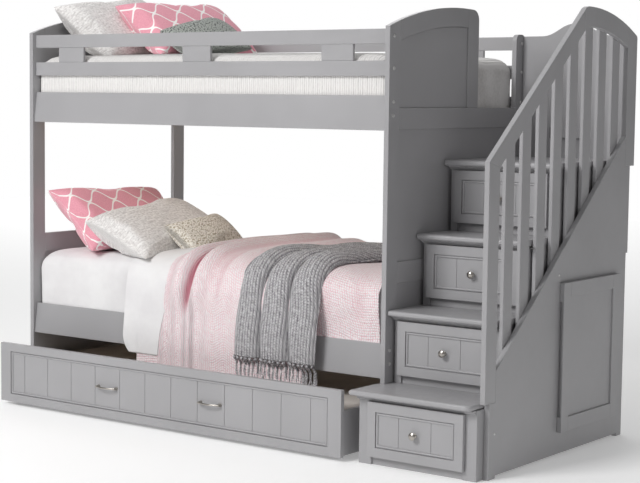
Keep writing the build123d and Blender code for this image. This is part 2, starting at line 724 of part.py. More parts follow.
def rear_guard():
    """The board behind the landing, with a raised crest."""
    x0, x1 = X_OUT + TOUCH * 4, GUARD_X0
    middle = (x0 + x1) / 2
    lip, low, high = 90, REAR_GUARD_TOP, REAR_GUARD_CREST
    up = Spline((x0 + lip, low), (middle, high), tangents=[(1, 0), (1, 0)])
    down = Spline((middle, high), (x1 - lip, low), tangents=[(1, 0), (1, 0)])
    outline = (Polyline((x0 + lip, low), (x0, low), (x0, REAR_GUARD_BASE),
                        (x1, REAR_GUARD_BASE), (x1, low), (x1 - lip, low)) + up + down)
    y0 = CARCASS_BACK + TOUCH
    return extrude(Plane.XZ.offset(-y0) * make_face(outline), amount=-REAR_GUARD_T)


def guard_battens():
    """Spacers that hold the guard off the staircase's side."""
    spots = ((12, 30, 255), (380, 30, 640), (935, 30, 1090))
    return [board(CAR_X1, GUARD_X0, y, y + 30, z0, z1, 0) for y, z0, z1 in spots]


# ------------------------------------------------------------------ door
def door():
    """Stiles and rails, with a finger pull routed behind the free edge."""
    y0, y1 = DOOR_Y
    z0, z1 = DOOR_Z
    free = board(DOOR_X0, DOOR_X1, y0, y0 + DOOR_STILE, z0, z1)
    free -= board(DOOR_X0 - 1, DOOR_X1 - PULL_LIP, y0 - 1, y0 + PULL_DEPTH, *PULL_Z, 0)
    hung = board(DOOR_X0, DOOR_X1, y1 - DOOR_STILE, y1, z0, z1)
    rails = [board(DOOR_X0, DOOR_X1, y0 + DOOR_STILE, y1 - DOOR_STILE, a, b)
             for a, b in ((z0, z0 + DOOR_STILE), (z1 - DOOR_STILE, z1))]
    field = board(DOOR_X0 + 2, DOOR_X1 - PANEL_RECESS - 1, y0 + DOOR_STILE,
                  y1 - DOOR_STILE, z0 + DOOR_STILE, z1 - DOOR_STILE, 0)
    return {"door_frame": [free, hung] + rails, "door_panel": [field]}


def tube(z0, z1, radius, bore):
    """A hinge knuckle on the door's axis."""
    solid = Pos(HINGE_X, HINGE_Y, (z0 + z1) / 2) * Cylinder(radius, z1 - z0)
    if bore:
        solid -= Pos(HINGE_X, HINGE_Y, (z0 + z1) / 2) * Cylinder(bore, z1 - z0 + 1)
    return solid


def hinges():
    """Two butt hinges: a leaf and two knuckles stay, one knuckle swings."""
    fixed, swing = [], []
    third = HINGE_H / 3
    bore = HINGE_PIN_R + HINGE_PLAY
    for z in HINGE_Z:
        z0, z1 = z - HINGE_H / 2, z + HINGE_H / 2
        plate = board(GUARD_X1, GUARD_X1 + HINGE_PLATE_T, HINGE_Y, HINGE_Y + 22, z0, z1, 0)
        pin = tube(z0, z1, HINGE_PIN_R, 0)
        for a, b in ((z0, z0 + third), (z1 - third, z1)):
            web = board(GUARD_X1, HINGE_X, HINGE_Y - 1, HINGE_Y + 1, a, b, 0)
            plate = plate + tube(a, b, KNUCKLE_R, 0) + web
        fixed.append(plate + pin)
        a, b = z0 + third + TOUCH, z1 - third - TOUCH
        wing = board(DOOR_X0 + 1, DOOR_X1 - 1, DOOR_Y[1], DOOR_Y[1] + HINGE_PLATE_T, a, b, 0)
        swing.append(wing + tube(a, b, KNUCKLE_R, 0) - tube(a, b, bore, 0))
    return {"door_hinge_plates": fixed, "door_hinge_wings": swing}


# --------------------------------------------------------------- trundle
def trundle_front():
    middle = sum(TRUNDLE_X) / 2
    grooves = [middle + (i - 5.5) * BOARD_PITCH for i in range(12)]
    return fielded(*TRUNDLE_X, *TRUNDLE_Z, TRUNDLE_FRONT, TRUNDLE_FRONT_T,
                   TRUNDLE_BORDER, grooves)


def trundle_box():
    """Sides, back and deck of the trundle."""
    x0 = TRUNDLE_X[0] + TRUNDLE_BOX_INSET[0]
    x1 = TRUNDLE_X[1] - TRUNDLE_BOX_INSET[1]
    y0, y1 = TRUNDLE_FRONT + TRUNDLE_FRONT_T, TRUNDLE_BACK
    t = TRUNDLE_BOX_T
    z0, z1 = TRUNDLE_SIDE_Z
    deck = board(x0 + t, x1 - t, y0, y1 - t, TRUNDLE_DECK_Z,
                 TRUNDLE_DECK_Z + TRUNDLE_DECK_T, 0)
    return [board(x0, x0 + t, y0, y1, z0, z1), board(x1 - t, x1, y0, y1, z0, z1),
            board(x0 + t, x1 - t, y1 - t, y1, z0, z1), deck]


def wheel_places():
    """Centres of the wheels: the front pair, then the rear pair."""
    xs = (TRUNDLE_X[0] + WHEEL_INSET_X, TRUNDLE_X[1] - WHEEL_INSET_X)
    front = TRUNDLE_FRONT + TRUNDLE_FRONT_T + WHEEL_INSET_Y
    back = TRUNDLE_BACK - TRUNDLE_BOX_T - WHEEL_INSET_Y
    return [[(x, y) for x in xs] for y in (front, back)]


def wheel(x, y):
    """A wheel with a rounded tread, on its own pin."""
    turned = Rot(0, 90, 0) * Cylinder(WHEEL_R, WHEEL_W)
    rims = turned.edges().filter_by(GeomType.CIRCLE)
    turned = fillet(rims, 4) + Rot(0, 90, 0) * Cylinder(AXLE_R, WHEEL_W + 12)
    return Pos(x, y, WHEEL_R) * turned


def caster_bracket(x, y):
    """A plate under the deck, with a cheek each side of the wheel."""
    top = TRUNDLE_DECK_Z
    solid = board(x - 16, x + 16, y - 24, y + 24, top - 3, top, 0)
    for side in (-1, 1):
        near = x + side * (WHEEL_W / 2 + 1.5)
        far = near + side * 2.5
        solid += board(min(near, far), max(near, far), y - 11, y + 11,
                       WHEEL_R - 10, top - 3, 0)
    hole = Rot(0, 90, 0) * Cylinder(AXLE_R + AXLE_PLAY, 60)
    return solid - Pos(x, y, WHEEL_R) * hole


def handle(x, z):
    """A bow handle that stands off the sunk field on two turned feet."""
    front = TRUNDLE_FRONT + PANEL_RECESS
    half = HANDLE_SPAN / 2
    reach = front - HANDLE_REACH
    bow = ThreePointArc((x - half, front - 14, z), (x, reach, z), (x + half, front - 14, z))
    section = Plane(origin=bow @ 0, z_dir=bow % 0) * Circle(HANDLE_R)
    solid = sweep(section, path=bow)
    for side in (-1, 1):
        foot = Pos(x + side * half, front - 8, z) * Rot(90, 0, 0) * Cone(8, 4.5, 16)
        ball = Pos(x + side * half, front - 15, z) * Sphere(6)
        solid = solid + foot + ball
    return solid


def trundle():
    middle = sum(TRUNDLE_X) / 2
    pairs = wheel_places()
    length, width, thick = MATTRESS_TRUNDLE
    deck = TRUNDLE_DECK_Z + TRUNDLE_DECK_T
    x_mid = (TRUNDLE_X[0] + TRUNDLE_BOX_INSET[0] + TRUNDLE_X[1] - TRUNDLE_BOX_INSET[1]) / 2
    y_mid = (TRUNDLE_FRONT + TRUNDLE_FRONT_T + TRUNDLE_BACK - TRUNDLE_BOX_T) / 2
    return {"trundle_front": [trundle_front()],
            "trundle_box": trundle_box(),
            "trundle_handles": [handle(middle + s * HANDLE_OFFSET, HANDLE_Z) for s in (-1, 1)],
            "caster_brackets": [caster_bracket(x, y) for pair in pairs for x, y in pair],
            "front_wheels": [wheel(x, y) for x, y in pairs[0]],
            "rear_wheels": [wheel(x, y) for x, y in pairs[1]],
            "trundle_mattress": [mattress(x_mid, y_mid, deck, length, width, thick)]}


# ------------------------------------------------------------- soft goods
def mattress(x, y, z, length, width, thick):
    """A mattress that lies on z, a hair above what carries it."""
    blank = Pos(x, y, z + SOFT_GAP + thick / 2) * Box(length, width, thick)
    return fillet(blank.edges(), min(MATTRESS_R, thick * 0.4))


def pillow(height, width, thick, lean, turn, place):
    """A lens-shaped pillow: lean tips it up from flat, turn swings it about Z."""
    half, rim = height / 2, thick * 0.16
    outline = Polyline((-half, -rim), (-half * 0.3, -thick / 2), (half * 0.3, -thick / 2),
                       (half, -rim), (half, rim), (half * 0.3, thick / 2),
                       (-half * 0.3, thick / 2), (-half, rim), close=True)
    lens = extrude(Plane.XZ * make_face(outline), amount=width / 2, both=True)
    return Pos(*place) * Rot(0, 0, turn) * Rot(0, lean, 0) * lens


# name: height, width, thickness, lean, turn, then the centre from the head, from
# the bed's middle and above the mattress; the upper bunk's comes first
PILLOWS = {
    "linen_pillows": [(270, 640, 120, 47, 0, (173, -114.5, 114)),
                      (400, 600, 140, 30, -14, (530, -148.5, 121))],
    "trellis_pillows": [(325, 600, 110, 41, -10, (425, 95.5, 122)),
                        (400, 640, 120, 42.5, 0, (187, -139.5, 152))],
    "boucle_pillows": [(240, 420, 90, 41, -10, (620, 75.5, 94)),
                       (250, 420, 80, 40, -14, (778, -24.5, 112))],
}


def bedding():
    """Mattresses, pillows, quilt and throw as plain solids."""
    x, y = X_HEAD + INNER_LENGTH / 2, DEPTH / 2
    size = (MATTRESS_LENGTH, MATTRESS_WIDTH)
    low_seat = RAIL_BOTTOM_LOWER + SLAT_SEAT
    high_seat = RAIL_BOTTOM_UPPER + SLAT_SEAT
    nodes = {"upper_mattress": [mattress(x, y, high_seat, *size, MATTRESS_UPPER_T)],
             "lower_mattress": [mattress(x, y, low_seat, *size, MATTRESS_LOWER_T)]}
    tops = (high_seat + MATTRESS_UPPER_T + SOFT_GAP, low_seat + MATTRESS_LOWER_T + SOFT_GAP)
    for name, rows in PILLOWS.items():
        nodes[name] = [pillow(*row[:5], (row[5][0], y + row[5][1], top + row[5][2]))
                       for row, top in zip(rows, tops)]
    top = tops[1] + SOFT_GAP
    nodes["quilt"] = [cover(QUILT_X, HANG_QUILT_X, top)]
    nodes["throw"] = [cover(THROW_X, HANG_THROW_X, top + QUILT_T + SOFT_GAP)]
    return nodes


def cover(across, hang, z):
    """A cloth that lies on the mattress and hangs down in front of the rail."""
    front, back = -HANG_T - 4, DEPTH - RAIL_BACK - 20
    lying = board(*across, RAIL_BACK + 6, back, z, z + QUILT_T, 5)
    bridge = board(*hang, front, RAIL_BACK + 12, z, z + QUILT_T, 5)
    fall = board(*hang, front, front + HANG_T, HANG_BOTTOM, z + QUILT_T - 1, 5)
    return lying + bridge + fall


# ------------------------------------------------------------------- export
def build():
    """Every node's solids, in the layout frame."""
    nodes = {}
    nodes.update(head_end())
    nodes.update(foot_end())
    nodes.update(bed_base())
    nodes.update(guards())
    nodes["frame_bolts"] = frame_bolts()
    nodes.update(carcass())
    nodes["step_face_frames"] = [s for k in range(1, STEPS + 1) for s in face_frame(k)]
    for k in range(1, STEPS + 1):
        nodes[f"tread_{k}"] = [tread(k)]
    nodes["tread_mouldings"] = tread_mouldings()
    nodes["drawer_runners"] = drawer_runners()
    nodes.update(drawers())
    nodes["side_guard_panel"] = [side_panel()]
    nodes["side_guard_stiles"] = [newel(), rear_stile()]
    nodes["side_guard_rails"] = [handrail(), side_arch_rail()]
    nodes["side_guard_balusters"] = balusters()
    nodes["side_guard_battens"] = guard_battens()
    nodes["rear_guard"] = [rear_guard()]
    nodes.update(door())
    nodes.update(hinges())
    nodes.update(trundle())
    nodes.update(bedding())
    return nodes


def solids_of(pieces):
    return [s for piece in pieces for s in piece.solids()]


NODES = {name: solids_of(pieces) for name, pieces in build().items()}
BOXES = [solid.bounding_box() for solids in NODES.values() for solid in solids]
LOW = [min(getattr(box.min, axis) for box in BOXES) for axis in "XYZ"]
HIGH = [max(getattr(box.max, axis) for box in BOXES) for axis in "XYZ"]
ORIGIN = ((LOW[0] + HIGH[0]) / 2, (LOW[1] + HIGH[1]) / 2, LOW[2])

os.makedirs("parts", exist_ok=True)
for name, solids in NODES.items():
    placed = [Pos(-ORIGIN[0], -ORIGIN[1], -ORIGIN[2]) * solid for solid in solids]
    shape = placed[0] if len(placed) == 1 else Compound(children=placed)
    export_step(shape, f"parts/{name}.step")
print(len(NODES), "nodes; origin at", [round(v, 3) for v in ORIGIN],
      "size", [round(b - a, 1) for a, b in zip(LOW, HIGH)])
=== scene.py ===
import json
import math

import bpy
import numpy as np
from mathutils import Matrix, Vector


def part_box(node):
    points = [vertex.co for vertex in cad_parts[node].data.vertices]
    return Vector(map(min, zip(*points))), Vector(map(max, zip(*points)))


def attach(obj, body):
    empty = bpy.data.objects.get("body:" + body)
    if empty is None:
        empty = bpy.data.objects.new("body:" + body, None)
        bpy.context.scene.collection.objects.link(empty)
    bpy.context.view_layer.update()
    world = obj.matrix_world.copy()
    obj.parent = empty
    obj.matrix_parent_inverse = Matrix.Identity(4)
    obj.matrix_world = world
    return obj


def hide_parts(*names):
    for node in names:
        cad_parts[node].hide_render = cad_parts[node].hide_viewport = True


# Looks of a grey painted bunk bed with a staircase of drawers. Everything is in
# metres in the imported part's own frame: X from the head end to the stairs, Y
# from the front to the back, Z up. Timber and fittings are the CAD's own pieces
# with better finishes; bedding and pillows are built here.

MM = 0.001
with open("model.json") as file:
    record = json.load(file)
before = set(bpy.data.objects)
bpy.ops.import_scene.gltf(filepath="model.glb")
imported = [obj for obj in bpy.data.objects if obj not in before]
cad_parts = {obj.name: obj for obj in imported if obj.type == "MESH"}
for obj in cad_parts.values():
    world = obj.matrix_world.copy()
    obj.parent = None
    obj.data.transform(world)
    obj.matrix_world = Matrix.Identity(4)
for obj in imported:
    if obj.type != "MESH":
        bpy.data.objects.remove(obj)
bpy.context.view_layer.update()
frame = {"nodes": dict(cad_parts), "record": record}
NODES = frame["nodes"]

LOWER_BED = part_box("lower_mattress")
UPPER_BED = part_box("upper_mattress")
TRUNDLE_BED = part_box("trundle_mattress")
QUILT_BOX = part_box("quilt")
THROW_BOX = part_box("throw")
SIDE_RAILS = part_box("side_rails")
FRAME_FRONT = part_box("head_posts")[0].y
SIDE_RAIL_HEIGHT = 0.137


# ------------------------------------------------------------ colours, nodes
def srgb(code):
    """Linear RGBA of an sRGB hex colour such as "8A8889"."""
    parts = [int(code[i:i + 2], 16) / 255 for i in (0, 2, 4)]
    linear = [c / 12.92 if c <= 0.04045 else ((c + 0.055) / 1.055) ** 2.4 for c in parts]
    return (*linear, 1.0)


def add(tree, kind, inputs=None, out=0, **settings):
    """Adds a node and returns one of its outputs: inputs are socket values or links,
    settings are the node's own values."""
    node = tree.nodes.new("ShaderNode" + kind)
    for key, value in settings.items():
        setattr(node, key, value)
    for key, value in (inputs or {}).items():
        if isinstance(value, bpy.types.NodeSocket):
            tree.links.new(value, node.inputs[key])
        else:
            node.inputs[key].default_value = value
    return node.outputs[out]


def finish_of(name, **sockets):
    """A new material with a Principled shader and these socket values."""
    material = bpy.data.materials.new(name)
    material.use_nodes = True
    tree = material.node_tree
    shader = tree.nodes["Principled BSDF"]
    for key, value in sockets.items():
        shader.inputs[key.replace("_", " ")].default_value = value
    return material, tree, shader


def dress(tree, shader, tone, span, shades, height, depth_mm, strength, shade_in_creases=None):
    """Colours the surface from its first shade to its second as tone crosses span, and
    raises it by height times depth. Where the last argument gives a colour and a share,
    the colour is painted darker towards it in the cloth's creases: painted shade."""
    level = add(tree, "MapRange", {0: tone, 1: span[0], 2: span[1]})
    colour = add(tree, "Mix", {0: level, 6: shades[0], 7: shades[1]}, 2, data_type="RGBA")
    # Painted shade: the colour darkens towards the crease colour where the cloth sinks.
    if shade_in_creases:
        painted_crease_shade = add(tree, "Attribute", out="Fac", attribute_name="painted_crease_shade")
        share = add(tree, "MapRange", {0: painted_crease_shade, 1: 0.0, 2: 1.0, 3: 0.0, 4: shade_in_creases[1]})
        colour = add(tree, "Mix", {0: share, 6: colour, 7: srgb(shade_in_creases[0])}, 2, data_type="RGBA")
    tree.links.new(colour, shader.inputs["Base Color"])
    raised = add(tree, "Bump", {"Height": height, "Distance": depth_mm * MM, "Strength": strength})
    tree.links.new(raised, shader.inputs["Normal"])


def waves(tree, along, pitch_mm):
    """|sin(pi x / pitch)|: one swell for each pitch along x."""
    angle = add(tree, "Math", {0: along, 1: math.pi / (pitch_mm * MM)}, operation="MULTIPLY")
    swing = add(tree, "Math", {0: angle}, operation="SINE")
    return add(tree, "Math", {0: swing}, operation="ABSOLUTE")


def weave(tree, across, down, pitch_mm):
    """Plain weave, 0 to 1: the product of the waves along the cloth's u and v."""
    return add(tree, "Math", {0: waves(tree, across, pitch_mm), 1: waves(tree, down, pitch_mm)},
               operation="MULTIPLY")


def cloth_uv(tree):
    """The cloth's own coordinates in metres: both at once, u, and v."""
    place = add(tree, "TexCoord", out="UV")
    return (place, add(tree, "SeparateXYZ", {0: place}, "X"),
            add(tree, "SeparateXYZ", {0: place}, "Y"))


# ----------------------------------------------------------------- finishes
def sprayed_paint(name, code, gloss=0.36):
    """Satin lacquer sprayed on sanded poplar: even, with a faint orange peel, drawn
    4 mm wide so that it shows, a shine that changes over 33 mm patches where the wood
    telegraphs through, and a cloud of tone about 450 mm across."""
    material, tree, shader = finish_of(name, Roughness=gloss, Coat_Weight=0.12,
                                       Coat_Roughness=0.25, IOR=1.5)
    place = add(tree, "TexCoord", out="Object")
    cloud = add(tree, "TexNoise", {"Vector": place, "Scale": 2.2, "Detail": 2.0})
    base = srgb(code)
    shades = [tuple(min(1, c * share) for c in base[:3]) + (1.0,) for share in (0.93, 1.05)]
    peel = add(tree, "TexNoise", {"Vector": place, "Scale": 260.0, "Detail": 2.0})
    dress(tree, shader, cloud, (0.3, 0.7), shades, peel, 0.10, 0.35)
    patch = add(tree, "TexNoise", {"Vector": place, "Scale": 30.0, "Detail": 3.0})
    shine = add(tree, "MapRange", {0: patch, 1: 0.3, 2: 0.7, 3: gloss - 0.05, 4: gloss + 0.06})
    tree.links.new(shine, shader.inputs["Roughness"])
    return material


def planed_wood(name, light, dark, gloss=0.5):
    """Planed softwood: growth rings about 4 mm apart in height, ten times as long
    along the board."""
    material, tree, shader = finish_of(name, Roughness=gloss, IOR=1.5)
    place = add(tree, "TexCoord", out="Object")
    along = add(tree, "Mapping", {"Vector": place, "Scale": (6.0, 6.0, 60.0)})
    rings = add(tree, "TexNoise", {"Vector": along, "Scale": 4.0, "Detail": 5.0, "Roughness": 0.6})
    dress(tree, shader, rings, (0.35, 0.65), (srgb(dark), srgb(light)), rings, 0.15, 0.4)
    return material


def grained(name, per_metre, detail, depth_mm, strength, **sockets):
    """A material of one colour under a fine grain, this many grains to the metre."""
    material, tree, shader = finish_of(name, **sockets)
    place = add(tree, "TexCoord", out="Object")
    grain = add(tree, "TexNoise", {"Vector": place, "Scale": per_metre, "Detail": detail})
    raised = add(tree, "Bump", {"Height": grain, "Distance": depth_mm * MM, "Strength": strength})
    tree.links.new(raised, shader.inputs["Normal"])
    return material


def satin_nickel(name, code="B4AFA8", gloss=0.3):
    """Zinc die-casting plated in satin nickel: warm, softly brushed, 1.1 mm grain."""
    return grained(name, 900.0, 2.0, 0.03, 0.3, Metallic=1.0, Roughness=gloss,
                   Base_Color=srgb(code))


def moulded_plastic(name, code):
    """Injection-moulded nylon with a fine spark-eroded grain of 1.4 mm."""
    return grained(name, 700.0, 3.0, 0.05, 0.5, Roughness=0.55, Base_Color=srgb(code))


def cloth(name, code, shade, sheen, rough):
    """What every cloth here starts from: a matte thread with a little sheen. Its
    shades come back with the darker one first."""
    material, tree, shader = finish_of(name, Roughness=rough, Sheen_Weight=sheen,
                                       Sheen_Roughness=0.5, IOR=1.45, Specular_IOR_Level=0.2)
    return material, tree, shader, (srgb(shade), srgb(code))


def cotton_percale(name, code, shade):
    """Percale sheeting: smooth and flat, its thread too fine to see, lightly creased
    about every 200 mm, with painted shade a little darker in the creases."""
    material, tree, shader, shades = cloth(name, code, shade, 0.15, 0.85)
    place = add(tree, "TexCoord", out="Object")
    crease = add(tree, "TexNoise", {"Vector": place, "Scale": 5.0, "Detail": 4.0,
                                    "Roughness": 0.55})
    dress(tree, shader, crease, (0.35, 0.65), shades, crease, 14.0, 0.35)
    return material


def ribbed_coverlet(name, code, shade):
    """Channel-stitched cotton: ribs 11 mm wide with a crimp of the same size, with
    painted shade darker in the channels between the ribs and in the crimp's hollows.
    """
    material, tree, shader, shades = cloth(name, code, shade, 0.2, 0.9)
    place = add(tree, "TexCoord", out="Object")
    rib = waves(tree, add(tree, "SeparateXYZ", {0: place}), 11)
    crimp = add(tree, "TexNoise", {"Vector": place, "Scale": 90.0, "Detail": 3.0})
    height = add(tree, "Math", {0: crimp, 1: 0.7, 2: rib}, operation="MULTIPLY_ADD")
    dress(tree, shader, height, (0.2, 0.9), shades, height, 2.2, 0.8)
    return material


def waffle_quilting(name, code, shade, deep):
    """Waffle-stitched cotton voile: 11 mm cells puffed between sunk stitch lines that wander a
    little, crumpled about every 13 mm. Its colour follows the relief: the raised cells are
    painted near white as painted highlight, the sunk lines and crumples a deeper pink as
    painted shade, and the deep colour is painted shade in the folds."""
    material, tree, shader, shades = cloth(name, code, shade, 0.35, 0.9)
    place, u, v = cloth_uv(tree)
    drift = add(tree, "TexNoise", {"Vector": place, "Scale": 18.0, "Detail": 2.0})
    wobble = add(tree, "Math", {0: drift, 1: 9 * MM}, operation="MULTIPLY")
    cells = weave(tree, add(tree, "Math", {0: u, 1: wobble}, operation="ADD"),
                  add(tree, "Math", {0: v, 1: wobble}, operation="SUBTRACT"), 11)
    crumple = add(tree, "TexNoise", {"Vector": place, "Scale": 75.0, "Detail": 3.0,
                                     "Roughness": 0.6})
    height = add(tree, "Math", {0: crumple, 1: 1.3, 2: cells}, operation="MULTIPLY_ADD")
    dress(tree, shader, height, (0.45, 1.25), shades, height, 3.2, 0.9, (deep, 0.9))
    return material


def chunky_knit(name, code, shade, deep):
    """Hand-knitted acrylic roving: columns of slanted stitches 15 mm wide and 11 mm
    high, with painted shade dark between them, under a fuzz of loose fibre in 17 mm clumps.
    The deep colour is painted shade in the throw's folds."""
    material, tree, shader, shades = cloth(name, code, shade, 0.3, 0.95)
    place, u, v = cloth_uv(tree)
    column = add(tree, "Math", {0: u, 1: 7.5 * MM}, operation="PINGPONG")
    slant = add(tree, "Math", {0: column, 1: 1.2, 2: v}, operation="MULTIPLY_ADD")
    stitch = add(tree, "Math", {0: waves(tree, slant, 11), 1: waves(tree, u, 15)},
                 operation="MULTIPLY")
    yarn = add(tree, "Math", {0: stitch, 1: 0.5}, operation="POWER")
    fuzz = add(tree, "TexNoise", {"Vector": place, "Scale": 60.0, "Detail": 4.0, "Roughness": 0.7})
    loose = add(tree, "Math", {0: fuzz, 1: 1.4}, operation="MULTIPLY")
    height = add(tree, "Math", {0: yarn, 1: 0.7, 2: loose}, operation="MULTIPLY_ADD")
    dress(tree, shader, height, (0.70, 1.50), shades, height, 6.0, 1.0, (deep, 0.85))
    return material


def slubby_linen(name, code, shade):
    """Washed linen: a plain weave and its thick and thin threads drawn 9 mm wide so
    that they show, each slub 55 mm long, over an 11 mm mottle."""
    material, tree, shader, shades = cloth(name, code, shade, 0.2, 0.9)
    place, u, v = cloth_uv(tree)
    drawn = add(tree, "Mapping", {"Vector": place, "Scale": (18.0, 110.0, 1.0)})
    streak = add(tree, "TexNoise", {"Vector": drawn, "Scale": 1.0, "Detail": 3.0, "Roughness": 0.6})
    mottle = add(tree, "TexNoise", {"Vector": place, "Scale": 90.0, "Detail": 2.0})
    tone = add(tree, "Math", {0: streak, 1: mottle}, operation="ADD")
    height = add(tree, "Math", {0: weave(tree, u, v, 9), 1: streak}, operation="ADD")
    dress(tree, shader, tone, (0.75, 1.25), shades, height, 0.8, 0.8)
    return material


def printed_trellis(name, ground, shade, line):
    """Printed cotton: an ogee trellis of pale lines on a coloured ground mottled over
    7 mm. Rows of waves v = n P + (-1)^n A cos(2 pi u / L) meet at their crests. The
    cloth's own weave is drawn 3 mm wide."""
    material, tree, shader, shades = cloth(name, ground, shade, 0.2, 0.85)
    place, u, v = cloth_uv(tree)
    row, length, wide = 84 * MM, 150 * MM, 7.5 * MM
    angle = add(tree, "Math", {0: u, 1: math.tau / length}, operation="MULTIPLY")
    wave = add(tree, "Math", {0: angle}, operation="COSINE")
    swing = add(tree, "Math", {0: wave, 1: row / 2 - wide * 0.6}, operation="MULTIPLY")
    below = add(tree, "Math", {0: v, 1: swing}, operation="SUBTRACT")
    above = add(tree, "Math", {0: add(tree, "Math", {0: v, 1: row}, operation="ADD"), 1: swing},
                operation="ADD")
    near = add(tree, "Math", {0: add(tree, "Math", {0: below, 1: row}, operation="PINGPONG"),
                              1: add(tree, "Math", {0: above, 1: row}, operation="PINGPONG")},
               operation="MINIMUM")
    mottle = add(tree, "TexNoise", {"Vector": place, "Scale": 150.0, "Detail": 2.0})
    level = add(tree, "MapRange", {0: mottle, 1: 0.3, 2: 0.7})
    dyed = add(tree, "Mix", {0: level, 6: shades[0], 7: shades[1]}, 2, data_type="RGBA")
    dress(tree, shader, near, (wide, wide * 0.75), (dyed, srgb(line)), weave(tree, u, v, 3),
          0.4, 0.5)
    return material


def looped_boucle(name, code, shade):
    """Boucle: curled yarn loops about 8 mm across with 4 mm curls, a painted highlight
    on their tops and painted shade between them."""
    material, tree, shader, shades = cloth(name, code, shade, 0.3, 0.95)
    place = add(tree, "TexCoord", out="UV")
    gap = add(tree, "TexVoronoi", {"Vector": place, "Scale": 130.0}, "Distance",
              feature="SMOOTH_F1", voronoi_dimensions="2D")
    loops = add(tree, "Math", {0: 1.0, 1: gap}, operation="SUBTRACT")
    curl = add(tree, "TexNoise", {"Vector": place, "Scale": 260.0, "Detail": 3.0, "Roughness": 0.7})
    height = add(tree, "Math", {0: curl, 1: 0.6, 2: loops}, operation="MULTIPLY_ADD")
    dress(tree, shader, height, (0.60, 1.05), shades, height, 4.5, 1.0)
    return material


def studio_floor(name):
    """Seamless white paper sweep."""
    return finish_of(name, Roughness=0.9, Base_Color=srgb("F4F4F4"), Specular_IOR_Level=0.1,
                     Emission_Color=srgb("FFFFFF"), Emission_Strength=0.22)[0]


# ------------------------------------------------------------------ meshes
def mesh_object(name, points, faces, uvs, material, body, smooth=True):
    """A mesh piece riding on a CAD body. uvs holds one pair for each vertex."""
    mesh = bpy.data.meshes.new(name)
    mesh.from_pydata(points.reshape(-1, 3).tolist(), [], faces.tolist())
    loops = np.zeros(len(mesh.loops), np.int32)
    mesh.loops.foreach_get("vertex_index", loops)
    layer = mesh.uv_layers.new(name="UVMap")
    layer.data.foreach_set("uv", uvs.reshape(-1, 2)[loops].astype(np.float32).ravel())
    mesh.polygons.foreach_set("use_smooth", [smooth] * len(mesh.polygons))
    mesh.materials.append(material)
    mesh.update()
    piece = bpy.data.objects.new(name, mesh)
    bpy.context.scene.collection.objects.link(piece)
    if body:
        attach(piece, body)
    return piece


def grid_faces(rows, columns, start=0, flip=False):
    """Quads between neighbours of a rows by columns grid of vertices."""
    index = start + np.arange(rows * columns).reshape(rows, columns)
    quads = np.stack([index[:-1, :-1], index[1:, :-1], index[1:, 1:], index[:-1, 1:]], -1)
    return quads.reshape(-1, 4)[:, ::-1 if flip else 1]


def arc_lengths(points, axis):
    """Distance along a grid's rows or columns from its first point."""
    steps = np.linalg.norm(np.diff(points, axis=axis), axis=-1)
    zero = np.zeros_like(np.take(steps, [0], axis=axis))
    return np.concatenate([zero, np.cumsum(steps, axis=axis)], axis=axis)


def smooth_line(corners, count, rounds=4):
    """A line through corner points, its corners cut four times at a quarter and
    three quarters of each run, then spaced evenly."""
    line = np.array(corners, float)
    for _ in range(rounds):
        cut = np.stack([line[:-1] * 0.75 + line[1:] * 0.25, line[:-1] * 0.25 + line[1:] * 0.75], 1)
        line = np.concatenate([line[:1], cut.reshape(-1, line.shape[1]), line[-1:]])
    along = arc_lengths(line, 0)
    even = np.linspace(0, along[-1], count)
    return np.stack([np.interp(even, along, line[:, i]) for i in range(line.shape[1])], 1)


def bell(x, centre, width):
    return np.exp(-((x - centre) / width) ** 2)


def ease(x, low, high):
    """0 before low, 1 after high, smooth between."""
    t = np.clip((x - low) / (high - low), 0, 1)
    return t * t * (3 - 2 * t)


def ripple(shape, waves, seed, size):
    """Gentle random waves over a grid: a sum of cosines with random directions."""
    source = np.random.default_rng(seed)
    rows, columns = np.meshgrid(np.linspace(0, size[0], shape[0]),
                                np.linspace(0, size[1], shape[1]), indexing="ij")
    total = np.zeros(shape)
    for _ in range(waves):
        a, b = source.normal(0, 1, 2)
        reach = source.uniform(0.09, 0.3)
        total += reach * np.cos((a * rows + b * columns) / reach + source.uniform(0, math.tau))
    return total / np.abs(total).max()


# --------------------------------------------------------------- mattresses
def rounded_box(low, high, radius, steps):
    """Six face grids of a box whose edges and corners are rounded: each point is
    the box's core, inset by the radius, plus the radius along the way out."""
    low, high = np.array(low), np.array(high)
    middle, half = (low + high) / 2, (high - low) / 2
    points, faces, start = [], [], 0
    for axis in range(3):
        a, b = [i for i in range(3) if i != axis]
        for side in (-1, 1):
            lines = [edge_spaced(half[i], radius, steps[i]) for i in (a, b)]
            first, second = np.meshgrid(*lines, indexing="ij")
            face = np.zeros((*first.shape, 3))
            face[..., a], face[..., b], face[..., axis] = first, second, side * half[axis]
            points.append(face.reshape(-1, 3))
            outward = (side > 0) == (axis != 1)
            faces.append(grid_faces(*first.shape, start, not outward))
            start += first.size
    points = np.concatenate(points)
    core = np.clip(points, -(half - radius), half - radius)
    way = points - core
    points = core + radius * way / np.linalg.norm(way, axis=1, keepdims=True)
    return points + middle, np.concatenate(faces), middle, half


def edge_spaced(half, radius, count):
    """Positions across a face, closer together over the rounded edges."""
    edge = half - radius + radius * np.tan(np.linspace(0, math.pi / 4, 9)[1:])
    inner = np.linspace(-(half - radius), half - radius, count)
    return np.concatenate([-edge[::-1], inner, edge])


def welded(points, faces):
    """Joins vertices that share a place."""
    key = np.round(points, 6)
    _, first, back = np.unique(key, axis=0, return_index=True, return_inverse=True)
    return points[first], back.reshape(-1)[faces]


